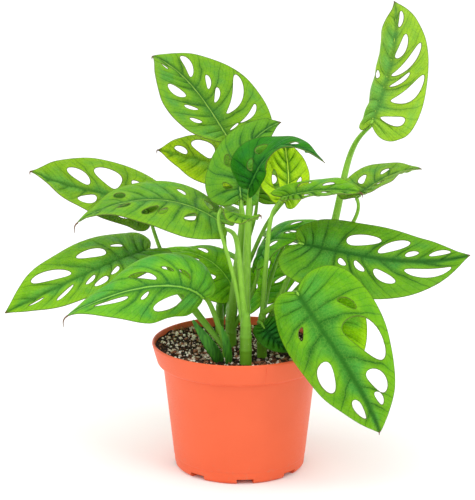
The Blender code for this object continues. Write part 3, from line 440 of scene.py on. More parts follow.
# One row for each blade. midrib: the four guide points of its curve, joint first, tip last.
# face: which way the upper side looks at the joint and at the tip. width: half widths, left and
# right as seen from above with the tip ahead. lift and droop: how each half leaves the midrib and
# how far it has turned down at the margin, in degrees. left and right: the windows, each as
# (place along the margin at its inner end, at its outer end, share of the way from midrib to
# margin where it starts, where it ends, width). stalk: its shoot, the height where it leaves the
# stem, its radius there, its two guide points and the angle at which it meets the blade. green:
# the colour of the upper side; on a few blades it is brightened or darkened to paint the glow of
# light shining through the leaf or the shade it lies in.
BLADES = {
    "blade_top_right": {
        "midrib": ((88, 8, 236), (100, 9, 266), (106, 0, 297), (99, -23, 321)),
        "face": ((-0.1, -1, 0.1), (0.6, -0.7, -0.5)), "width": (18, 30),
        "lift": (-20, 2), "droop": (110, 22),
        "left": ((0.56, 0.54, 0.34, 0.60, 0.020),),
        "right": ((0.28, 0.38, 0.20, 0.74, 0.040), (0.45, 0.53, 0.22, 0.91, 0.033),
                  (0.54, 0.585, 0.10, 0.54, 0.014), (0.61, 0.66, 0.08, 0.87, 0.026),
                  (0.72, 0.76, 0.08, 0.56, 0.042), (0.87, 0.90, 0.16, 0.72, 0.028)),
        "stalk": ("shoot_right", 88, 3.2, (90, 28, 141), (57, 62, 216), 28),
        "green": (0.18, 0.42, 0.03),
    },
    "blade_top_left": {
        "midrib": ((-8, 45, 220), (-20, 66, 235), (-36, 83, 262), (-63, 105, 269)),
        "face": ((0.3, -0.6, 0.7), (0.1, -0.6, 0.8)), "width": (37, 41),
        "lift": (18, 12), "droop": (4, 18),
        "left": ((0.42, 0.44, 0.42, 0.66, 0.020), (0.53, 0.54, 0.30, 0.58, 0.017),
                 (0.64, 0.66, 0.42, 0.78, 0.044), (0.86, 0.89, 0.45, 0.62, 0.022)),
        "right": ((0.27, 0.35, 0.17, 0.36, 0.018), (0.36, 0.46, 0.40, 0.80, 0.016),
                  (0.46, 0.58, 0.22, 0.92, 0.030), (0.57, 0.62, 0.16, 0.44, 0.018),
                  (0.66, 0.70, 0.26, 0.54, 0.018), (0.78, 0.84, 0.18, 0.86, 0.028)),
        "stalk": ("shoot_back", 111, 2.2, (0, 17, 147), (9, 27, 182), 34),
        "green": (0.105, 0.31, 0.012),
    },
    "blade_back_left_upper": {
        "midrib": ((2, 54, 197), (-18, 62, 200), (-38, 63, 203), (-57, 55, 210)),
        "face": ((-0.1, -0.5, 0.8), (0.5, -0.7, 0.5)), "width": (22, 28),
        "lift": (10, 7), "droop": (16, 30),
        "left": (), "right": ((0.63, 0.66, 0.10, 0.80, 0.075), (0.82, 0.84, 0.14, 0.66, 0.04)),
        "stalk": ("shoot_back", 108, 2.0, (4, 20, 150), (12, 34, 184), 30),
        # A bright yellow-green: painted glow of light shining through this blade from behind.
        "green": (0.30, 0.58, 0.012),
    },
    "blade_centre_upright": {
        "midrib": ((1, 4, 186), (-2, 17, 203), (3, 24, 226), (28, 17, 236)),
        "face": ((0.3, -0.8, 0.4), (-0.3, -0.8, 0.5)), "width": (24, 18),
        "lift": (0, 0), "droop": (45, 40),
        "left": ((0.37, 0.41, 0.25, 0.50, 0.028), (0.56, 0.58, 0.30, 0.60, 0.025)),
        "right": ((0.50, 0.53, 0.30, 0.62, 0.030),),
        "stalk": ("shoot_back", 99, 3.4, (-2, -2, 142), (5, 2, 179), 13),
        "green": (0.075, 0.28, 0.02),
    },
    "blade_centre_arched": {
        "midrib": ((6, -15, 197), (14, -39, 220), (22, -49, 247), (54, -65, 224)),
        "face": ((0.1, -0.8, 0.6), (0.5, -0.2, 0.8)), "width": (20, 7),
        "lift": (7, 11), "droop": (12, 48),
        "left": ((0.46, 0.49, 0.15, 0.42, 0.032), (0.57, 0.55, 0.34, 0.66, 0.026),
                 (0.82, 0.80, 0.20, 0.60, 0.022)),
        "right": (),
        "stalk": ("shoot_middle", 92, 3.4, (3, -8, 144), (7, 2, 172), 8),
        # A very dark green: painted shade, as this blade's face lies in shadow.
        "green": (0.012, 0.165, 0.008),
    },
    "blade_left_front_upper": {
        "midrib": ((-12, -9, 172), (-38, -5, 192), (-76, -12, 195), (-107, -35, 178)),
        "face": ((0.7, -0.2, 0.7), (-0.5, -0.2, 0.9)), "width": (31, 29),
        "lift": (9, 3), "droop": (53, 11),
        "left": ((0.44, 0.47, 0.30, 0.62, 0.026), (0.59, 0.60, 0.40, 0.64, 0.015),
                 (0.64, 0.67, 0.39, 0.76, 0.023), (0.78, 0.80, 0.30, 0.60, 0.02)),
        "right": ((0.36, 0.40, 0.32, 0.62, 0.026), (0.50, 0.51, 0.42, 0.64, 0.012),
                  (0.77, 0.73, 0.42, 0.80, 0.020)),
        "stalk": ("shoot_middle", 112, 2.2, (-3, -28, 153), (2, -24, 176), 8),
        "green": (0.105, 0.32, 0.018),
    },
    "blade_centre_small": {
        "midrib": ((-11, -29, 186), (-1, -30, 181), (6, -40, 178), (13, -51, 187)),
        "face": ((0.4, 0.2, 0.9), (-0.7, 0.1, 0.8)), "width": (12, 12),
        "lift": (7, 9), "droop": (15, 29), "left": (), "right": (),
        "stalk": ("shoot_middle", 90, 1.5, (-1, -32, 140), (-9, -30, 163), 75),
        "green": (0.12, 0.35, 0.02),
    },
    "blade_left_upper": {
        "midrib": ((-62, 14, 174), (-80, 15, 190), (-112, 9, 188), (-138, -15, 209)),
        "face": ((0.5, -0.6, 0.7), (0.7, -0.2, 0.7)), "width": (31, 33),
        "lift": (12, 11), "droop": (1, 23),
        "left": ((0.42, 0.46, 0.53, 0.76, 0.030), (0.66, 0.68, 0.20, 0.76, 0.042)),
        "right": ((0.38, 0.41, 0.30, 0.62, 0.040), (0.54, 0.55, 0.18, 0.73, 0.060),
                  (0.70, 0.71, 0.18, 0.75, 0.048)),
        "stalk": ("shoot_left", 88, 1.8, (-43, 5, 126), (-54, 14, 136), 29),
        "green": (0.13, 0.34, 0.01),
    },
    "blade_left_lower": {
        "midrib": ((-61, 4, 151), (-88, -16, 148), (-121, -17, 130), (-155, -38, 118)),
        "face": ((0, -0.2, 1), (0.1, -0.6, 0.8)), "width": (30, 36),
        "lift": (12, 9), "droop": (14, 20),
        "left": ((0.50, 0.52, 0.30, 0.55, 0.016), (0.56, 0.57, 0.50, 0.76, 0.025),
                 (0.62, 0.63, 0.27, 0.56, 0.017), (0.72, 0.75, 0.31, 0.77, 0.017),
                 (0.85, 0.89, 0.36, 0.64, 0.018)),
        "right": ((0.40, 0.44, 0.34, 0.48, 0.024), (0.52, 0.57, 0.26, 0.64, 0.050),
                  (0.72, 0.78, 0.20, 0.84, 0.048)),
        "stalk": ("shoot_left", 88, 1.8, (-44, 5, 123), (-52, 7, 132), 68),
        "green": (0.12, 0.36, 0.01),
    },
    "blade_front_left": {
        "midrib": ((-24, -32, 126), (-35, -58, 148), (-74, -70, 147), (-111, -78, 127)),
        "face": ((0.6, -0.7, -0.5), (-0.4, -0.4, 0.9)), "width": (27, 30),
        "lift": (-8, -3), "droop": (8, 103),
        "left": ((0.46, 0.54, 0.18, 0.71, 0.080), (0.68, 0.69, 0.16, 0.40, 0.012),
                 (0.78, 0.86, 0.25, 0.52, 0.048)),
        "right": ((0.45, 0.50, 0.22, 0.38, 0.016), (0.54, 0.57, 0.34, 0.46, 0.013),
                  (0.64, 0.69, 0.18, 0.52, 0.030)),
        "stalk": ("shoot_left", 89, 1.9, (-22, -13, 126), (-20, -22, 122), 53),
        "green": (0.095, 0.36, 0.02),
    },
    "blade_back_left_lower": {
        "midrib": ((-3, 18, 116), (-12, 28, 137), (-30, 41, 143), (-57, 55, 138)),
        "face": ((0.5, -0.7, 0.6), (-0.2, 0, 1)), "width": (27, 26),
        "lift": (8, 2), "droop": (25, 29),
        "left": ((0.47, 0.51, 0.30, 0.66, 0.034), (0.68, 0.71, 0.30, 0.62, 0.03)),
        "right": ((0.50, 0.53, 0.30, 0.66, 0.034), (0.70, 0.73, 0.30, 0.62, 0.03)),
        "stalk": ("shoot_back", 88, 1.8, (-1, 19, 110), (-4, 16, 107), 15),
        "green": (0.17, 0.52, 0.012),
    },
    "blade_right": {
        "midrib": ((40, -21, 161), (72, -39, 159), (112, -37, 146), (153, -24, 154)),
        "face": ((-0.1, -0.4, 0.9), (0.1, -0.8, 0.6)), "width": (31, 34),
        "lift": (4, 5), "droop": (11, 31),
        "left": ((0.53, 0.58, 0.24, 0.66, 0.062), (0.67, 0.71, 0.18, 0.80, 0.036),
                 (0.78, 0.79, 0.20, 0.50, 0.020), (0.86, 0.90, 0.34, 0.84, 0.026)),
        "right": ((0.50, 0.51, 0.18, 0.36, 0.016), (0.57, 0.58, 0.18, 0.44, 0.016),
                  (0.64, 0.65, 0.35, 0.71, 0.028), (0.765, 0.86, 0.36, 0.85, 0.062)),
        "stalk": ("shoot_right", 99, 1.9, (35, -13, 137), (36, -16, 147), 73),
        "green": (0.075, 0.27, 0.010),
    },
    "blade_front_right": {
        "midrib": ((37, -56, 137), (54, -89, 117), (79, -102, 87), (91, -74, 47)),
        "face": ((-0.4, -0.6, 0.7), (0.5, -0.8, -0.4)), "width": (41, 34),
        "lift": (7, 1), "droop": (43, 75),
        "left": ((0.44, 0.48, 0.46, 0.66, 0.024), (0.57, 0.62, 0.28, 0.88, 0.075),
                 (0.76, 0.77, 0.35, 0.82, 0.044), (0.83, 0.845, 0.42, 0.72, 0.024)),
        "right": ((0.45, 0.48, 0.28, 0.46, 0.018), (0.65, 0.66, 0.30, 0.80, 0.050),
                  (0.84, 0.85, 0.32, 0.72, 0.044)),
        "stalk": ("shoot_right", 112, 2.0, (42, -34, 136), (34, -43, 131), 44),
        "green": (0.09, 0.325, 0.008),
    },
    "blade_right_upper": {
        "midrib": ((78, -10, 190), (89, -1, 198), (104, 3, 206), (122, 2, 207)),
        "face": ((-0.5, -0.1, 0.9), (0, -0.1, 1)), "width": (25, 24),
        "lift": (12, 16), "droop": (6, 6),
        **TWO_PAIRS,
        "stalk": ("shoot_right", 102, 1.7, (45, -3, 134), (81, 10, 164), 83),
        "green": (0.12, 0.32, 0.02),
    },
    "blade_centre_right": {
        "midrib": ((28, -11, 190), (44, -6, 194), (62, -12, 197), (80, -24, 196)),
        "face": ((-0.1, -0.2, 1), (-0.2, -0.3, 0.9)), "width": (23, 24),
        "lift": (10, 9), "droop": (37, -20),
        **TWO_PAIRS,
        "stalk": ("shoot_right", 112, 1.7, (19, -15, 159), (19, -12, 180), 38),
        "green": (0.1, 0.34, 0.008),
    },
    "blade_back_centre": {
        "midrib": ((31, 29, 178), (36, 31, 189), (33, 32, 205), (30, 29, 223)),
        "face": ((0.6, -0.8, -0.2), (-0.3, -0.9, -0.2)), "width": (20, 16),
        "lift": (1, 0), "droop": (17, 19),
        "left": ((0.45, 0.62, 0.34, 0.66, 0.075),), "right": ((0.50, 0.54, 0.32, 0.62, 0.03),),
        "stalk": ("shoot_back", 112, 1.6, (11, 26, 144), (16, 32, 164), 16),
        # A bright yellow-green: painted glow of light shining through this blade from behind.
        "green": (0.30, 0.62, 0.01),
    },
    "blade_inner_right": {
        "midrib": ((12, 9, 139), (19, 18, 161), (38, 19, 169), (69, 14, 161)),
        "face": ((-0.9, -0.1, 0.4), (0.2, -0.2, 0.9)), "width": (23, 24),
        "lift": (4, 8), "droop": (28, 22),
        "left": ((0.50, 0.53, 0.30, 0.62, 0.030), (0.70, 0.72, 0.30, 0.60, 0.026)),
        "right": ((0.47, 0.50, 0.30, 0.60, 0.03), (0.64, 0.72, 0.28, 0.66, 0.048)),
        "stalk": ("shoot_back", 91, 1.8, (3, 5, 109), (8, 4, 117), 8),
        "green": (0.085, 0.38, 0.008),
    },
    "blade_back_right_lower": {
        "midrib": ((16, 22, 108), (18, 36, 121), (27, 52, 131), (43, 66, 139)),
        "face": ((-0.7, -0.4, 0.6), (0.1, -0.6, 0.8)), "width": (24, 24),
        "lift": (6, 10), "droop": (33, 20),
        **TWO_PAIRS,
        "stalk": ("shoot_right", 88, 1.7, (17, 16, 101), (17, 10, 99), 8),
        "green": (0.17, 0.58, 0.008),
    },
    "blade_young_low": {
        "midrib": ((15, -28, 107), (19, -30, 101), (25, -31, 95), (34, -33, 89)),
        "face": ((0, -0.9, 0.5), (-0.1, -0.9, 0.4)), "width": (14, 9),
        "lift": (8, 8), "droop": (25, 25), "left": (), "right": (),
        "stalk": ("shoot_right", 98, 1.5, (14, -19, 102), (13, -19, 106), 60),
        "green": (0.018, 0.15, 0.006),
    },
    "blade_back_left": {
        "midrib": ((-12, 60, 157), (-31, 88, 163), (-55, 110, 159), (-85, 123, 149)),
        "face": ((0, -0.2, 1), (-0.3, 0, 1)), "width": (26, 26),
        "lift": (8, 8), "droop": (25, 25),
        **THREE_PAIRS,
        "stalk": ("shoot_rear", 88, 1.9, (-10, 54, 120), (-10, 59, 137), 76),
        "green": (0.11, 0.33, 0.012),
    },
    "blade_back_upper": {
        "midrib": ((12, 44, 176), (12, 62, 190), (8, 82, 197), (0, 104, 200)),
        "face": ((0, -0.6, 0.8), (-0.1, -0.3, 0.9)), "width": (24, 24),
        "lift": (8, 8), "droop": (25, 25),
        "left": ((0.44, 0.48, 0.30, 0.66, 0.040), (0.62, 0.66, 0.30, 0.64, 0.036)),
        "right": ((0.48, 0.52, 0.30, 0.66, 0.040), (0.66, 0.70, 0.30, 0.64, 0.036)),
        "stalk": ("shoot_rear", 88, 1.8, (7, 75, 142), (10, 48, 159), 79),
        "green": (0.11, 0.33, 0.012),
    },
    "blade_back_right": {
        "midrib": ((33, 40, 149), (50, 68, 148), (66, 92, 133), (85, 110, 113)),
        "face": ((0.1, 0, 1), (0.5, 0.3, 0.8)), "width": (26, 26),
        "lift": (8, 8), "droop": (25, 25),
        **THREE_PAIRS,
        "stalk": ("shoot_right", 107, 1.8, (19, 9, 124), (23, 22, 133), 37),
        "green": (0.11, 0.33, 0.012),
    },
    "blade_behind_front_right": {
        "midrib": ((52, -24, 125), (64, -40, 116), (70, -54, 100), (71, -60, 76)),
        "face": ((-0.2, -0.6, 0.8), (0.1, -1, 0.2)), "width": (21, 21),
        "lift": (8, 8), "droop": (25, 25),
        "left": (), "right": (),
        "stalk": ("shoot_right", 88, 1.6, (60, -12, 123), (48, -24, 122), 72),
        "green": (0.26, 0.66, 0.005),
    },
}
# The blades whose midrib shows only as a dark furrow, with a painted sheen beside it; on the others
# it shows as a pale line. The furrow's darkness is painted shade.
DARK_RIBS = ("blade_front_right", "blade_right", "blade_inner_right", "blade_back_left_upper",
             "blade_left_lower", "blade_top_right", "blade_young_low", "blade_left_upper")
# How strongly the veins, and the painted shade along them and along the midrib, show on the plainer
# blades, where 1 is the full strength.
PLAIN_BLADES = {"blade_top_right": 0.55, "blade_left_lower": 0.7, "blade_left_upper": 0.7,
                "blade_back_left_lower": 0.45, "blade_back_right_lower": 0.5,
                "blade_back_left_upper": 0.5, "blade_inner_right": 0.7, "blade_young_low": 0.6,
                "blade_behind_front_right": 0.5}
# The blades whose tip ends in a dry brown hook, and how far the hook hangs.
DRIP_TIPS = {"blade_front_left": 6.5, "blade_left_front_upper": 6.0, "blade_front_right": 2.0,
             "blade_centre_small": 3.0, "blade_top_left": 2.5, "blade_back_left_upper": 3.0,
             "blade_left_upper": 3.0, "blade_back_left": 4.0, "blade_back_right": 4.0,
             "blade_centre_right": 3.0, "blade_inner_right": 3.0}
SIDES = ((1, "right"), (-1, "left"))
BLADE_THICKNESS = 0.42
# How finely a blade is cut: points that measure the midrib and points on it, steps of the margin
# from vein to vein, points round a window, steps from midrib to margin and from vein to vein, and
# how far these inner points stay off the cut edges and the midrib. A bridge between two cut edges
# that is longer than the last size gets a point of its own.
MIDRIB_MEASURES, SPINE_POINTS, MARGIN_STEPS, WINDOW_POINTS = 61, 64, 8, 40
ACROSS_STEPS, BETWEEN_VEINS = 15, 6
CLEAR_OF_EDGE, CLEAR_OF_MIDRIB, BRIDGE = 0.7, 0.5, 0.7
# The relief: the pillows' height, the share that they are sunk by, how they bulge from midrib to
# margin, and the strip along a cut edge over which they flatten.
PILLOW, PILLOW_SUNK, PILLOW_LEAN, PILLOW_BULGE, PILLOW_EDGE = 1.9, 0.7, 0.75, 0.8, 2.5
FURROW_DEPTH, FURROW_WIDTH = 0.45, 1.3
LIP, LIP_WIDTH, LIP_REACH = 0.35, 1.1, 0.97
# The margin's slow wave: its height, and for each of two beats its size, its number of waves along
# the blade and the share of a wave by which the right half runs ahead and the left one behind.
WAVE, BEATS = 1.0, ((1.0, 1.6, 0.3), (0.5, 4.3, 0.2))
# The rib: its radius at the tip and how much more it has at the joint, its taper, the blade length
# from which on it has its full radius, and how deep it sits as a share of its radius: a pale rib
# also shows on the upper side, a dark one doesn't.
RIB_RADIUS, RIB_TIP, RIB_TAPER, RIB_FULL = 0.85, 0.14, 0.7, 90
RIB_SPAN, RIB_STEPS, RIB_SIDES = (0.004, 0.975), 40, 10
PALE_RIB_SINK, DARK_RIB_SINK = 0.35, 1.0
# The dry tip: where on the midrib it starts, its radius at the end and how much more it has at the
# start, and its guide points as shares of its drop, first ahead and then down.
DRIP_START, DRIP_RADIUS, DRIP_END, DRIP_STEPS, DRIP_SIDES = 0.985, 0.5, 0.12, 16, 8
DRIP_GUIDES = ((0, 0), (0.5, 0), (0.65, 0.3), (0.45, 1.0))
# Sizes of the leaf's patterns in millimetres, the depth of its bumps, and how many net cells a
# metre has, fine veins lie in each vein's space and bowed veins from midrib to margin.
LEAF_CLOUD, LEAF_PATCH, LEAF_DRIFT, LEAF_CRUMPLE, LEAF_PORES = 9, 22, 12, 7.0, 0.8
PORE_DEPTH, NET_DEPTH, FINE_VEIN_DEPTH, CRUMPLE_DEPTH = 0.05, 0.12, 0.10, 1.6
NET_CELLS, FINE_VEINS, BOWED_VEINS, BOW = 430.0, 4.0, 9.0, 2.2
CORK, DRY_BROWN = (0.06, 0.10, 0.012), (0.11, 0.05, 0.02)
# The order of a blade's materials.
UPPER, UNDER, EDGE, RIB, TIP = range(5)


def unit(vectors):
    """Each vector divided by its length."""
    return vectors / np.linalg.norm(vectors, axis=-1, keepdims=True)


def bezier(guides, share):
    """Points at the shares 0..1 of the curve that the guide points pull: neighbours are mixed by
    share again and again until one point is left."""
    share = np.asarray(share, float)[..., None]
    pulls = [np.asarray(guide, float) + 0.0 * share for guide in guides]
    while len(pulls) > 1:
        pulls = [a + (b - a) * share for a, b in zip(pulls, pulls[1:])]
    return pulls[0]


def midrib_run(row):
    """Even shares of the midrib's curve and the length run through at each: steps added up."""
    fine = np.linspace(0, 1, MIDRIB_MEASURES)
    steps = np.linalg.norm(np.diff(bezier(row["midrib"], fine), axis=0), axis=1)
    return fine, np.concatenate([[0.0], np.cumsum(steps)]), np.sum(steps)


def blade_frame(row, share):
    """The midrib's point, its direction and the upper side's direction at shares of its length.
    The upper side is the given look, mixed from joint to tip and made square to the midrib."""
    fine, run, _ = midrib_run(row)
    inside = np.clip(share, 0, 1)
    at = np.interp(inside * run[-1], run, fine)
    small = 1e-3
    ahead = unit(bezier(row["midrib"], np.clip(at + small, 0, 1))
                 - bezier(row["midrib"], np.clip(at - small, 0, 1)))
    centre = bezier(row["midrib"], at) + ahead * ((share - inside) * run[-1])[:, None]
    near, far = (unit(np.array(look, float)) for look in row["face"])
    look = near + (far - near) * inside[:, None]
    return centre, ahead, unit(look - ahead * np.sum(look * ahead, axis=1, keepdims=True))


def bend(row, along, across, side):
    """Lays flat points on the bent blade and gives the direction of its upper side there. Each
    half leaves the midrib at its lift and follows an arc, whose chord is its length times the
    sine of half its turn over half its turn."""
    centre, ahead, up = blade_frame(row, along)
    right = np.cross(ahead, up) * side[:, None]
    pick = (side > 0).astype(int)
    width = np.array(row["width"], float)[pick]
    lift = np.radians(np.array(row["lift"], float))[pick]
    turn = np.radians(np.array(row["droop"], float))[pick] * across
    chord = (width * across * np.sinc(turn / (2 * np.pi)))[:, None]
    half, whole = (lift - turn / 2)[:, None], (lift - turn)[:, None]
    place = centre + right * chord * np.cos(half) + up * chord * np.sin(half)
    return place, up * np.cos(whole) - right * np.sin(whole)


def smooth_curve(points, share):
    """Points at shares of a smooth curve through the given points: between each two a cubic
    whose end slopes come from the neighbours."""
    points = np.asarray(points, float)
    step = np.linalg.norm(np.diff(points, axis=0), axis=1)
    start = np.concatenate([[0.0], np.cumsum(step)])
    slope = np.diff(points, axis=0) / step[:, None]
    ends = np.empty_like(points)
    ends[1:-1] = ((slope[:-1] * step[1:, None] + slope[1:] * step[:-1, None])
                  / (step[:-1] + step[1:])[:, None])
    ends[0] = 1.5 * slope[0] - 0.5 * ends[1]
    ends[-1] = 1.5 * slope[-1] - 0.5 * ends[-2]
    reach = np.asarray(share, float) * start[-1]
    k = np.clip(np.searchsorted(start, reach, side="right") - 1, 0, len(step) - 1)
    size = step[k][:, None]
    t = ((reach - start[k]) / step[k])[:, None]
    return (points[k] * (1 + 2 * t) * (1 - t) ** 2 + ends[k] * size * t * (1 - t) ** 2
            + points[k + 1] * t * t * (3 - 2 * t) - ends[k + 1] * size * t * t * (1 - t))


def flat_point(margin, reach):
    """A point of the flat half blade on the side vein that ends at this share of the margin.
    The vein leaves the midrib and bows towards the tip."""
    end = smooth_curve(HALF_OUTLINE, margin)
    root = margin ** VEIN_REACH
    along = root + (end[:, 0] - root) * reach ** VEIN_BOW
    return np.stack([along, np.maximum(end[:, 1] * reach, 0.0)], axis=1)


def window(hole):
    """A window's outline between two side veins as (place along the margin, share of the way to
    the margin): a long oval, a little narrower at its inner end."""
    inner, outer, start, stop, width = hole
    turn = np.linspace(0, 2 * np.pi, WINDOW_POINTS, endpoint=False)
    share = 0.5 + 0.5 * np.cos(turn)
    margin = inner + (outer - inner) * share
    margin = margin + width * np.sin(turn) * (1 - WINDOW_TAPER + 2 * WINDOW_TAPER * share)
    return margin, start + (stop - start) * share


def vein_places(holes):
    """Where the side veins run, each as (place at the midrib, place at the margin): just outside
    the first and the last window, halfway between neighbouring ones or close to each of them
    where they stand far apart, and at even steps where the next would be too far."""
    marks, end = [np.zeros(2)], np.zeros(2)
    for inner, outer, _, _, width in holes:
        low = np.array((inner, outer)) - width
        count = max(1, round(np.mean(low - end) / VEIN_SPACE))
        if len(marks) == 1:
            first, last = marks[0], low - VEIN_CLEAR
        elif count > 1:
            first = end + VEIN_SHARE * (low - end)
            last = low - VEIN_SHARE * np.abs(low - end)
            marks.append(first)
        else:
            first = last = (end + low) / 2
        marks += [first + (last - first) * k / count for k in range(1, count)] + [last]
        end = np.array((inner, outer)) + width
    if holes:
        marks.append(end + VEIN_CLEAR)
    first = marks[-1]
    count = max(1, round(np.mean(1 - first) / VEIN_SPACE))
    marks += [first + (1 - first) * k / count for k in range(1, count + 1)]
    return np.array(marks)


def vein_count(veins, margin, reach):
    """How many side veins lie between the joint and a point, as a running number: whole on a
    vein, a half midway between two."""
    place = veins[:, :1] + (veins[:, 1:] - veins[:, :1]) * reach
    step = (margin - place[:-1]) / (place[1:] - place[:-1])
    return np.clip(step, 0, 1).sum(axis=0)


def inside_ring(points, ring):
    """Which points lie inside a closed ring, by counting the ring's edges to their right."""
    x, y = points[:, :1], points[:, 1:]
    a, b = ring, np.roll(ring, -1, axis=0)
    crosses = (a[:, 1] > y) != (b[:, 1] > y)
    rise = np.where(b[:, 1] == a[:, 1], 1.0, b[:, 1] - a[:, 1])
    return (np.sum(crosses & (x < a[:, 0] + (y - a[:, 1]) * (b[:, 0] - a[:, 0]) / rise), axis=1)
            % 2 == 1)


def to_nearest(places, cut):
    """The distance from each place to the nearest point of the cut edges."""
    return np.linalg.norm(places[:, None] - cut[None], axis=2).min(axis=1)


def cut_flat(places, edges):
    """Cuts the flat points into triangles that keep the given edges. Returns each point's own
    number, the triangles and the points."""
    made = delaunay_2d_cdt([Vector(p) for p in places], edges, [], 0, 1e-6)
    return (np.array([ids[0] for ids in made[3]]), np.array([face for face in made[2]]),
            np.array([list(v) for v in made[0]]))


def thin_bridges(triangles, fixed, places):
    """The edges that run straight from one cut edge to another, where the leaf is a narrow
    bridge."""
    ends = np.sort(np.concatenate([triangles[:, [0, 1]], triangles[:, [1, 2]],
                                   triangles[:, [2, 0]]]), axis=1)
    ends = np.unique(ends[(ends < fixed).all(axis=1)], axis=0)
    far = np.linalg.norm(places[ends[:, 0]] - places[ends[:, 1]], axis=1) > BRIDGE
    return ends[far & (np.abs(ends[:, 0] - ends[:, 1]) > 1)]


def bridge_points(net, source, bridges):
    """A point in the middle of each narrow bridge, unless it crosses the midrib."""
    one, two = net[source[bridges[:, 0]]], net[source[bridges[:, 1]]]
    same = (one[:, 1] > 0) & (two[:, 1] > 0) & (one[:, 2] == two[:, 2])
    return (one[same] + two[same]) / 2


def on_side(margin, reach, side):
    """Rows of (place along the margin, share of the way to it, side)."""
    return np.stack([margin, reach + 0 * margin, side + 0 * margin], axis=1)


def lay_flat(row, length, points):
    """Such rows as flat points in millimetres: along the midrib, and across it to the side."""
    place = flat_point(points[:, 0], points[:, 1])
    wide = np.where(points[:, 2] > 0, row["width"][1], row["width"][0]) * points[:, 2]
    return np.stack([place[:, 0] * length, place[:, 1] * wide], axis=1)


def cut_lines(row, veins):
    """What the net has to keep: the midrib, the margin and the windows. Returns their points and
    edges, the ring of the margin and those of the windows."""
    spine = np.sqrt(np.linspace(0, 1, SPINE_POINTS))[1:-1]
    blocks = [np.array([(0.0, 0.0, 1.0), (1.0, 1.0, 1.0)]), on_side(spine, 0.0, 1.0)]
    run = [0, *range(2, 2 + len(spine)), 1]
    edges = list(zip(run, run[1:]))
    margins, windows = {}, []

    def added(block):
        """Adds a block of points and returns their numbers."""
        start = sum(map(len, blocks))
        blocks.append(block)
        return list(range(start, start + len(block)))

    for side, key in SIDES:
        count = len(veins[side]) - 1
        steps = np.linspace(0, count, count * MARGIN_STEPS + 1)[1:-1]
        margin = np.interp(steps, np.arange(count + 1), veins[side][:, 1])
        margins[side] = added(on_side(margin, 1.0, side))
        windows += [added(on_side(*window(hole), side)) for hole in row[key]]
    ring = [0, *margins[1], 1, *margins[-1][::-1]]
    for run in (ring, *windows):
        edges += list(zip(run, run[1:] + run[:1]))
    return np.concatenate(blocks), edges, ring, windows


def inner_points(veins, side):
    """The points inside one half: on its side veins and at even steps between each two, all at
    even shares of the way to the margin."""
    count = len(veins) - 1
    phase, reach = np.meshgrid(np.arange(1, count * BETWEEN_VEINS) / BETWEEN_VEINS,
                               np.arange(1, ACROSS_STEPS) / ACROSS_STEPS)
    phase, reach = phase.ravel(), reach.ravel()
    place = veins[:, :1] + (veins[:, 1:] - veins[:, :1]) * reach
    k, each = np.minimum(phase.astype(int), count - 1), np.arange(len(phase))
    past = phase - k
    return on_side(place[k, each] * (1 - past) + place[k + 1, each] * past, reach, side)


def blade_net(row, length):
    """The flat blade cut into triangles. Its points are rows of (place along the margin, share
    of the way to it, side); they follow the side veins, so the furrows stay crisp. Returns the
    points, the triangles with the upper side outwards, the side of each triangle, and for each
    point its distance to the nearest cut edge, its vein number seen from each side and its flat
    place."""
    veins = {side: vein_places(row[key]) for side, key in SIDES}
    fixed, edges, ring, windows = cut_lines(row, veins)
    fixed_flat = lay_flat(row, length, fixed)
    cut = fixed_flat[sorted({k for run in (ring, *windows) for k in run})]
    net = [fixed]
    for side, _ in SIDES:
        inner = inner_points(veins[side], side)
        spots = lay_flat(row, length, inner)
        clear = (to_nearest(spots, cut) > CLEAR_OF_EDGE) & (np.abs(spots[:, 1]) > CLEAR_OF_MIDRIB)
        net.append(inner[clear])
    net = np.concatenate(net)
    source, triangles, places = cut_flat(lay_flat(row, length, net), edges)
    bridges = thin_bridges(triangles, len(fixed), places)
    net = np.concatenate([net, bridge_points(net, source, bridges)])
    source, triangles, places = cut_flat(lay_flat(row, length, net), edges)
    middle = places[triangles].mean(axis=1)
    keep = inside_ring(middle, fixed_flat[ring])
    for run in windows:
        keep &= ~inside_ring(middle, fixed_flat[run])
    net, triangles, sides = net[source], triangles[keep][:, ::-1], np.sign(middle[keep][:, 1])
    on_midrib = np.abs(places[:, 1]) < 1e-4
    net[on_midrib, 1] = np.where(net[on_midrib, 0] < 1, 0.0, 1.0)
    counts = {side: vein_count(veins[side], net[:, 0], net[:, 1]) for side, _ in SIDES}
    return net, triangles, sides, to_nearest(places, cut), counts, places


def relief(row, net, counts, apart, seed):
    """How far the sheet rises from its smooth form, in millimetres. Pillows between the side
    veins follow the sine of the vein number, are sunk by a share of their height and flatten at
    midrib and cut edge. Then come a furrow along the midrib and a raised lip round the windows,
    both as bell curves of the distance, and a slow wave that grows with the square of the way to
    the margin."""
    random = np.random.default_rng(seed)
    margin, reach, side = net.T
    number = np.where(side > 0, counts[1], counts[-1])
    swell = np.abs(np.sin(np.pi * number)) - PILLOW_SUNK
    pillow = PILLOW * swell * np.sin(np.pi * reach ** PILLOW_LEAN) ** PILLOW_BULGE
    pillow = pillow * np.clip(apart / PILLOW_EDGE, 0, 1) * np.clip(margin * 4, 0.1, 1)
    lips = LIP * np.exp(-(apart / LIP_WIDTH) ** 2) * (reach < LIP_REACH)
    off = flat_point(margin, reach)[:, 1] * np.where(side > 0, row["width"][1], row["width"][0])
    furrow = FURROW_DEPTH * np.exp(-(off / FURROW_WIDTH) ** 2)
    beat = sum(size * np.sin(2 * np.pi * (count * margin + shift + ahead * side))
               for (size, count, ahead), shift in zip(BEATS, random.uniform(0, 1, len(BEATS))))
    beat = beat * np.sqrt(np.sin(np.pi * np.clip(margin, 0, 1)))
    return pillow - furrow + lips + WAVE * reach ** 2 * beat


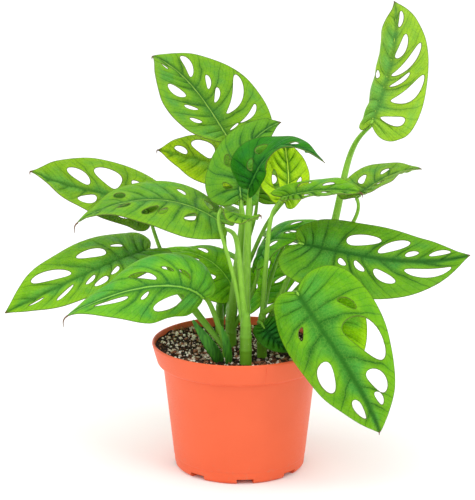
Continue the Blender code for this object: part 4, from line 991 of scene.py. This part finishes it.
def sweep(path, radii, sides, flat=1.0, start=0):
    """A closed tube: round the path stand rings of its radii, square to it. Their first axis is
    the direction in which the whole path bends least; flat squeezes the other one."""
    path, radii = np.asarray(path, float), np.asarray(radii, float)
    ahead = unit(np.gradient(path, axis=0))
    least = np.linalg.svd(path - path.mean(axis=0))[2][-1]
    wide = unit(least - ahead * np.sum(ahead * least, axis=1, keepdims=True))
    deep = np.cross(ahead, wide)
    turn = np.linspace(0, 2 * np.pi, sides, endpoint=False)[:, None]
    rings = path[:, None] + radii[:, None, None] * (wide[:, None] * np.cos(turn)
                                                    + flat * deep[:, None] * np.sin(turn))
    return rings.reshape(-1, 3), grid_faces(len(path), sides, start)


def leaf_colours(green):
    """The greens of one blade, from that of its upper side: deeper along the veins, partly as the
    leaf's own darker green and partly as painted shade in its furrows, yellower at the margin,
    bluish as a painted sheen, paler on the ribs and greyer beneath."""
    r, g, b = green
    return {"base": green, "fresh": (r * 1.5 + 0.09 * g, g * 1.28, b * 0.6),
            "deep": (r * 0.20, g * 0.37, b * 0.8), "painted_sheen": (r * 0.60, g * 0.95, b + 0.12 * g),
            "rib": (r * 1.7 + 0.15 * g, g * 1.35, b + 0.13 * g),
            "under": (r * 1.35 + 0.08 * g, g * 1.15, b + 0.04 * g)}


def mapped(tree, name):
    """The two values that a map of the blade holds at a place."""
    parts = node(tree, "SeparateXYZ", node(tree, "UVMap", uv_map=name)).node
    return parts.outputs[0], parts.outputs[1]


def to_whole(tree, value):
    """How far a value lies from the nearest whole number."""
    return sums(tree, "PINGPONG", value, 0.5)


def leaf_skin(name, greens, under, dark_rib, bold=1.0):
    """Waxy leaf skin. The lamina map gives the running vein number and the share of the way to
    the margin, the edges map the distance to a cut edge and to the midrib in millimetres. The
    vein number drifts a little, so that no vein runs quite true. The colours are laid one over
    another, each by its share; among them are painted shade in the furrows and a painted sheen.
    A bold of less than 1 makes the veins, the midrib and their painted shade fainter."""
    def build(tree):
        (number, reach), (edge, off) = mapped(tree, "lamina"), mapped(tree, "edges")
        tip = node(tree, "Attribute", attribute_name="to_tip", out=2)
        cloud, patch = noise(tree, LEAF_CLOUD), noise(tree, LEAF_PATCH, 2.0)
        drift = sums(tree, "MULTIPLY_ADD", noise(tree, LEAF_DRIFT, 1.0), 0.3, -0.15)
        number = sums(tree, "ADD", number, drift)
        near = to_whole(tree, number)
        small = to_whole(tree, product(tree, number, FINE_VEINS))
        bowed = to_whole(tree, sums(tree, "MULTIPLY_ADD", reach, BOWED_VEINS,
                                    product(tree, near, BOW)))
        net = node(tree, "TexVoronoi", here(tree), None, NET_CELLS, feature="DISTANCE_TO_EDGE")
        fresh, painted_sheen, rib = greens["fresh"], greens["painted_sheen"], greens["rib"]
        body, dark = ("under", "base") if under else ("base", "deep")
        body, dark = greens[body], greens[dark]
        # The broad darkening beside each side vein: partly the leaf's own deeper green, partly
        # painted shade in the furrows between the pillows.
        shadow = product(tree, ramp(tree, near, 0.0, 0.22, 0.85 * bold, 0.0),
                         ramp(tree, reach, 0.40, 0.95, 1.0, 0.12),
                         ramp(tree, patch, 0.3, 0.7, 1.0, 0.5))
        thread = product(tree, ramp(tree, near, 0.0, 0.032, 0.9 * bold, 0.0),
                         ramp(tree, reach, 0.6, 1.0, 1.0, 0.35))
        # What is laid on, its share and its colour. The numbers of a ramp are where it starts and
        # where it ends, and the share at both.
        layers = [
            ("fresh patches", ramp(tree, cloud, 0.35, 0.70, 0.0, 0.6), fresh),
            # Painted sheen: bluish patches that stand for the sky's reflection on the waxy upper
            # side.
            ("painted sheen patches", ramp(tree, patch, 0.48, 0.66, 0.0, 0.55), body if under else painted_sheen),
            # Painted sheen over the blade near the midrib, kept only on the upper side of the
            # blades with a dark midrib.
            ("painted sheen by the midrib", ramp(tree, reach, 0.15, 0.62, 0.55, 0.0), painted_sheen),
            ("fresh margin", ramp(tree, edge, 1.0, 6.5, 0.8, 0.0), fresh),
            ("furrow beside each side vein", shadow, dark),
            # Darker towards the midrib: partly the leaf's own deeper green, partly painted shade.
            ("dark midst", ramp(tree, reach, 0.0, 0.34, 0.6 * bold, 0.0), dark),
            ("side vein", thread, rib if under else dark),
            ("finer veins along the side veins", ramp(tree, small, 0.0, 0.13, 0.34, 0.0), dark),
            ("bowed veins across them", ramp(tree, bowed, 0.0, 0.10, 0.20, 0.0), dark),
            ("net of the finest veins", ramp(tree, net, 0.0, 0.10, 0.26, 0.0), rib),
            # Painted shade in the furrow along the midrib.
            ("furrow along the midrib", ramp(tree, off, 0.3, 2.6, 0.8 * bold, 0.0), dark),
            ("pale midrib", ramp(tree, off, 0.2, 0.55, 0.85, 0.0), rib),
            ("corky line at a cut edge", ramp(tree, edge, 0.15, 0.7, 0.7, 0.0), CORK),
            ("dry tip", ramp(tree, tip, 0.8, 3.4, 0.85, 0.0), DRY_BROWN),
        ]
        left_out = "pale midrib" if dark_rib and not under else "painted sheen by the midrib"
        colour = body
        for what, share, over in layers:
            if what != left_out:
                colour = tint(tree, share, colour, over)
        height = product(tree, noise(tree, LEAF_PORES, 4.0), PORE_DEPTH * MM)
        for rise, depth in ((ramp(tree, net, 0.0, 0.14), NET_DEPTH),
                            (ramp(tree, small, 0.0, 0.22), FINE_VEIN_DEPTH),
                            (noise(tree, LEAF_CRUMPLE, 2.0), CRUMPLE_DEPTH)):
            height = sums(tree, "MULTIPLY_ADD", rise, depth * MM, height)
        return colour, ramp(tree, cloud, 0.3, 0.7, 0.36, 0.48), height
    return skin(name, build, 0.42, 0.075)


def streaked(name, one, other, size, share, depth, roughness, specular):
    """A skin with faint streaks between two colours along its height."""
    def build(tree):
        streak = noise(tree, size, 4.0, drawn_out(tree, share))
        return (tint(tree, ramp(tree, streak, 0.3, 0.7), one, other), None,
                product(tree, streak, depth * MM))
    return skin(name, build, roughness, specular)


def clouded(name, one, other, size, detail, roughness, specular):
    """A plain skin that is cloudy between two colours."""
    def build(tree):
        return tint(tree, noise(tree, size, detail), one, other), None, None
    return skin(name, build, roughness, specular)


def rib_under(row, length, sunk):
    """The rib beneath the blade: a slim tube in the sheet that thins to the tip by a power of
    what is left, sunk by a share of its radius."""
    share = np.linspace(*RIB_SPAN, RIB_STEPS)
    centre, _, up = blade_frame(row, share)
    radii = RIB_RADIUS * (1 - share) ** RIB_TAPER * min(1.0, length / RIB_FULL) + RIB_TIP
    return sweep(centre - up * (FURROW_DEPTH + sunk * radii[:, None]), radii, RIB_SIDES)


def drip_tip(row, drop):
    """The dry brown point of a blade: a thin tapered tube that runs on from the midrib's tip and
    hooks down by the drop in millimetres."""
    centre, ahead, up = (vector[0] for vector in blade_frame(row, np.array([DRIP_START])))
    centre, fall = centre - up * FURROW_DEPTH, np.array((0.0, 0.0, -1.0))
    guides = [centre + ahead * drop * on + fall * drop * down for on, down in DRIP_GUIDES]
    share = np.linspace(0, 1, DRIP_STEPS)
    radii = DRIP_RADIUS * (1 - share) ** RIB_TAPER + DRIP_END
    return sweep(bezier(guides, share), radii, DRIP_SIDES)


def join(made, extra, skin_index):
    """Adds a second mesh to a piece with one of the piece's own materials."""
    other = placed("extra", extra)
    for material in made.data.materials:
        extra.materials.append(material)
    extra.polygons.foreach_set("material_index",
                               np.full(len(extra.polygons), skin_index, np.int32))
    with bpy.context.temp_override(active_object=made, object=made,
                                   selected_editable_objects=[made, other]):
        bpy.ops.object.join()


def thickened(made):
    """Gives a sheet its thickness, half of it to each side, with its own materials beneath and
    along the cut edges, and returns the finished mesh."""
    thicken = made.modifiers.new("thickness", "SOLIDIFY")
    thicken.thickness = BLADE_THICKNESS * MM
    thicken.offset = 0.0
    thicken.material_offset, thicken.material_offset_rim = UNDER, EDGE
    solid = bpy.data.meshes.new_from_object(
        made.evaluated_get(bpy.context.evaluated_depsgraph_get()))
    made.modifiers.clear()
    made.data = solid
    return solid


def build_blade(name, row, seed):
    """One leaf: the net laid on its bent form with its relief, thickened, with its rib beneath."""
    length = midrib_run(row)[2]
    net, triangles, sides, apart, counts, spread = blade_net(row, length)
    along, across = flat_point(net[:, 0], net[:, 1]).T
    place, normal = bend(row, along, across, net[:, 2])
    place = place + normal * relief(row, net, counts, apart, seed)[:, None]
    greens, dark_rib = leaf_colours(row["green"]), name in DARK_RIBS
    skins = [leaf_skin(name + "_upper", greens, False, dark_rib, PLAIN_BLADES.get(name, 1.0)),
             leaf_skin(name + "_under", greens, True, False), edge_skin,
             streaked(name + "_rib", greens["rib"], greens["fresh"], 1.2, 0.35, 0.06, 0.45, 0.4),
             tip_skin]
    made = piece(name.replace("blade", "leaf"), place, triangles.tolist(), skins, [name],
                 sharp=180)
    loops, right = triangles.ravel(), np.repeat(sides, 3) > 0
    number = np.where(right, counts[1][loops], counts[-1][loops])
    for key, values in (("lamina", (number, net[loops, 1])),
                        ("edges", (apart[loops], np.abs(spread[loops, 1])))):
        layer = made.data.uv_layers.new(name=key)
        layer.uv.foreach_set("vector", np.stack(values, axis=1).astype(np.float32).ravel())
    end = np.array(row["midrib"][-1], float)
    give_value(made.data, "to_tip", np.linalg.norm(place - end, axis=1))
    solid = thickened(made)
    tubes = [(rib_under(row, length, DARK_RIB_SINK if dark_rib else PALE_RIB_SINK), RIB)]
    if name in DRIP_TIPS:
        tubes.append((drip_tip(row, DRIP_TIPS[name]), TIP))
    for tube, skin_index in tubes:
        join(made, raw_mesh("tube", *tube), skin_index)
    soften(solid, 50)


edge_skin = clouded("leaf_edge", (0.09, 0.12, 0.02), (0.17, 0.19, 0.04), 1.5, 3.0, 0.6, 0.3)
tip_skin = clouded("dry_tip", (0.10, 0.045, 0.02), (0.20, 0.11, 0.05), 1.0, 3.0, 0.6, 0.2)
for seed, (name, row) in enumerate(BLADES.items(), 101):
    build_blade(name, row, seed)

# Each shoot is a fleshy green stem rooted in the mix, with the long stalks of its blades growing
# out of it and, on the left one, two narrow leaf sheaths. Stalks swell a little at both ends.
STEM_ROOT, STEM_STEPS, STEM_SIDES = 68.4, 60, 24
# How a stem thins, as shares of its height and of its radius, and how its last rings close.
STEM_HEIGHTS, STEM_SHARES = (0, 0.4, 0.6, 0.8, 1), (1, 1, 0.97, 0.88, 0.6)
STEM_CLOSE = (0.85, 0.6, 0.25)
COLLARS, COLLAR_SWELL, COLLAR_WIDTH = (92.0, 101.0, 109.0), 0.35, 0.9
# A straight tube has no way in which it bends least, so a stem leans by this much.
STEM_LEAN = 1e-4
STALK_END, STALK_TAPER, STALK_STEPS, STALK_SIDES = 1.05, 1.3, 48, 14
STALK_SEAT, STALK_SET_BACK, STALK_APPROACH = 0.75, 0.8, 9.0
STALK_SWELL, STALK_SWELL_REACH = 0.22, 0.05
# The last of a stalk, which runs on into the blade's rib: its steps, how deep it lies below the
# furrow, how far along the midrib it ends, how strongly both ends pull it, and its end radius.
SEAT_STEPS, SEAT_SINK, SEAT_AHEAD, SEAT_PULL, SEAT_RADIUS = 7, 0.3, 3.0, 0.4, 0.8
# The sheaths: the shoot, the four guide points and the half width of each.
SHEATHS = (
    ("shoot_left", ((-12, -31, 79), (-14, -36, 88), (-22, -37, 98), (-31, -38, 113)), 4.3),
    ("shoot_left", ((-7, -35, 79), (-7, -39, 90), (-9, -40, 100), (-12, -40, 109)), 3.4),
)
SHEATH_SHARES, SHEATH_FLAT = (0.6, 0.9, 1, 1, 0.85, 0.55, 0.2), 0.3
SHEATH_STEPS, SHEATH_SIDES = 30, 20
STEM_OLIVE, STEM_GREEN, STEM_STREAK = (0.13, 0.34, 0.010), (0.26, 0.54, 0.045), (0.10, 0.26, 0.02)
STEM_DOTS, OLIVE_TOP, GREEN_FROM, STREAK_SIZE = (0.45, 0.62, 0.20), 85, 165, 1.6
DOT_CELLS, STREAK_DEPTH = 420.0, 0.1
FLESH, SHEATH = range(2)


def stem(shape):
    """A stem's centre line and radii: straight up, thinned towards its top, with a collar at each
    old leaf's place, as a bell curve of the height."""
    share = np.linspace(0, 1, STEM_STEPS)
    height = STEM_ROOT + (shape["top"] - STEM_ROOT) * share
    foot = np.array(shape["foot"], float)
    path = np.stack([foot[0] + 0 * share, foot[1] + 0 * share, height], axis=1)
    radii = shape["radius"] * np.interp(share, STEM_HEIGHTS, STEM_SHARES)
    radii[-len(STEM_CLOSE):] *= STEM_CLOSE
    for level in COLLARS:
        radii = radii + COLLAR_SWELL * np.exp(-((height - level) / COLLAR_WIDTH) ** 2)
    return path + STEM_LEAN * share[:, None] ** 2 * (1, 0, 0), radii


def stalk(row):
    """A stalk's centre line and radii: from inside its stem to just under and behind the blade's
    joint, then on along the underside into the rib. Both parts are curves pulled by guide points,
    and the radius goes from the first to the last by a power of the share, with a swelling at
    the end as a bell curve."""
    shoot, height, thick, first, second, arrive = row["stalk"]
    joint, ahead, up = (vector[0] for vector in blade_frame(row, np.zeros(1)))
    slope = np.radians(arrive)
    end = joint - up * (STALK_SEAT + STALK_END * np.cos(slope)) - ahead * STALK_SET_BACK
    way = ahead * np.cos(slope) + up * np.sin(slope)
    guides = ((*STEMS[shoot]["foot"], height), first, second, end - way * STALK_APPROACH, end)
    share = np.linspace(0, 1, STALK_STEPS)
    radii = thick + (STALK_END - thick) * share ** STALK_TAPER
    radii = radii * (1 + STALK_SWELL * np.exp(-((1 - share) / STALK_SWELL_REACH) ** 2))
    on = np.linspace(0, 1, SEAT_STEPS)[1:]
    seat = joint - up * (FURROW_DEPTH + SEAT_SINK) + ahead * SEAT_AHEAD
    reach = np.linalg.norm(seat - end)
    last = (end, end + way * reach * SEAT_PULL, seat - ahead * reach * SEAT_PULL, seat)
    return (np.concatenate([bezier(guides, share), bezier(last, on)]),
            np.concatenate([radii, radii[-1] + (SEAT_RADIUS - radii[-1]) * on]))


def sheath(guides, width):
    """A sheath as a flat tube: its half width swells and thins again along its curve."""
    share = np.linspace(0, 1, SHEATH_STEPS)
    radii = width * np.interp(share, np.linspace(0, 1, len(SHEATH_SHARES)), SHEATH_SHARES)
    return sweep(bezier(guides, share), radii, SHEATH_SIDES, flat=SHEATH_FLAT)


def stem_flesh(tree):
    """A fleshy stem: olive at its foot, fresh green higher up, with fine streaks and pale dots."""
    rise = ramp(tree, node(tree, "SeparateXYZ", here(tree), out=2), OLIVE_TOP * MM, GREEN_FROM * MM)
    streak = noise(tree, STREAK_SIZE, 4.0, drawn_out(tree, 0.15))
    colour = tint(tree, rise, STEM_OLIVE, STEM_GREEN)
    colour = tint(tree, ramp(tree, streak, 0.35, 0.7, 0.0, 0.35), colour, STEM_STREAK)
    dots = node(tree, "TexVoronoi", here(tree), None, DOT_CELLS)
    colour = tint(tree, ramp(tree, dots, 0.10, 0.22, 0.30, 0.0), colour, STEM_DOTS)
    return colour, None, product(tree, streak, STREAK_DEPTH * MM)


sheath_skin = streaked("sheath_green", (0.015, 0.10, 0.006), (0.05, 0.22, 0.012), 1.3, 0.2, 0.2,
                       0.5, 0.25)
for name, shape in STEMS.items():
    points, faces = sweep(*stem(shape), STEM_SIDES)
    for row in BLADES.values():
        if row["stalk"][0] == name:
            more, more_faces = sweep(*stalk(row), STALK_SIDES, start=len(points))
            points, faces = np.concatenate([points, more]), faces + more_faces
    skins = [skin(name + "_flesh", stem_flesh, 0.42, 0.3), sheath_skin]
    made = piece(name.replace("shoot", "stem"), points, faces, skins, [name], sharp=60)
    for owner, guides, width in SHEATHS:
        if owner == name:
            join(made, raw_mesh("sheath", *sheath(guides, width)), SHEATH)
    soften(made.data, 60)

# The studio: a wide pale floor under a white sky, a soft window light from the right, a fainter
# one from the left, and a camera a little above the plant. Its lengths are in metres.
FLOOR_HALF, FLOOR_SHADES = 9, ((0.95, 0.95, 0.95), (0.97, 0.97, 0.97))
LIT_POINT, SKY_STRENGTH = (0, 0, 0.16), 0.95
SUN_STRENGTH, SUN_SPREAD, SUN_WAY = 0.9, 60, (0.45, 0.40, -1.5)
LENS, SENSOR, CAMERA_PLACE, CAMERA_TILT = 127.86, 36.0, (-0.00144, -1.16528, 0.43791), 76.184


def facing(way):
    """The turn that makes a light look this way."""
    return Vector(way).to_track_quat("-Z", "Y").to_euler()


def soft_light(name, place, size, watts):
    """A square area light that looks at the middle of the plant."""
    lamp = bpy.data.lights.new(name, "AREA")
    lamp.size, lamp.energy = size, watts
    made = placed(name, lamp)
    made.location, made.rotation_euler = place, facing(Vector(LIT_POINT) - Vector(place))


mesh = bpy.data.meshes.new("floor")
mesh.from_pydata([(-FLOOR_HALF, -FLOOR_HALF, 0), (FLOOR_HALF, -FLOOR_HALF, 0),
                  (FLOOR_HALF, FLOOR_HALF, 0), (-FLOOR_HALF, FLOOR_HALF, 0)], [], [(0, 1, 2, 3)])
mesh.materials.append(clouded("studio_floor", *FLOOR_SHADES, 400, 2.0, 0.9, 0.1))
placed("floor", mesh)
soft_light("window_light", (0.9, -0.8, 1.1), 0.7, 7)
soft_light("left_fill", (-1.3, -0.1, 0.5), 0.6, 3)
sun = bpy.data.lights.new("overhead", "SUN")
sun.energy, sun.angle = SUN_STRENGTH, np.radians(SUN_SPREAD)
placed("overhead", sun).rotation_euler = facing(SUN_WAY)
world = bpy.data.worlds.new("white_sky")
world.use_nodes = True
sky = world.node_tree.nodes["Background"]
sky.inputs["Color"].default_value = (1, 1, 1, 1)
sky.inputs["Strength"].default_value = SKY_STRENGTH
lens = bpy.data.cameras.new("camera")
lens.lens, lens.sensor_width = LENS, SENSOR
camera = placed("camera", lens)
camera.location = CAMERA_PLACE
camera.rotation_euler = (np.radians(CAMERA_TILT), 0, 0)
bpy.context.scene.world = world
bpy.context.scene.camera = camera
bpy.context.scene.view_settings.view_transform = "Standard"
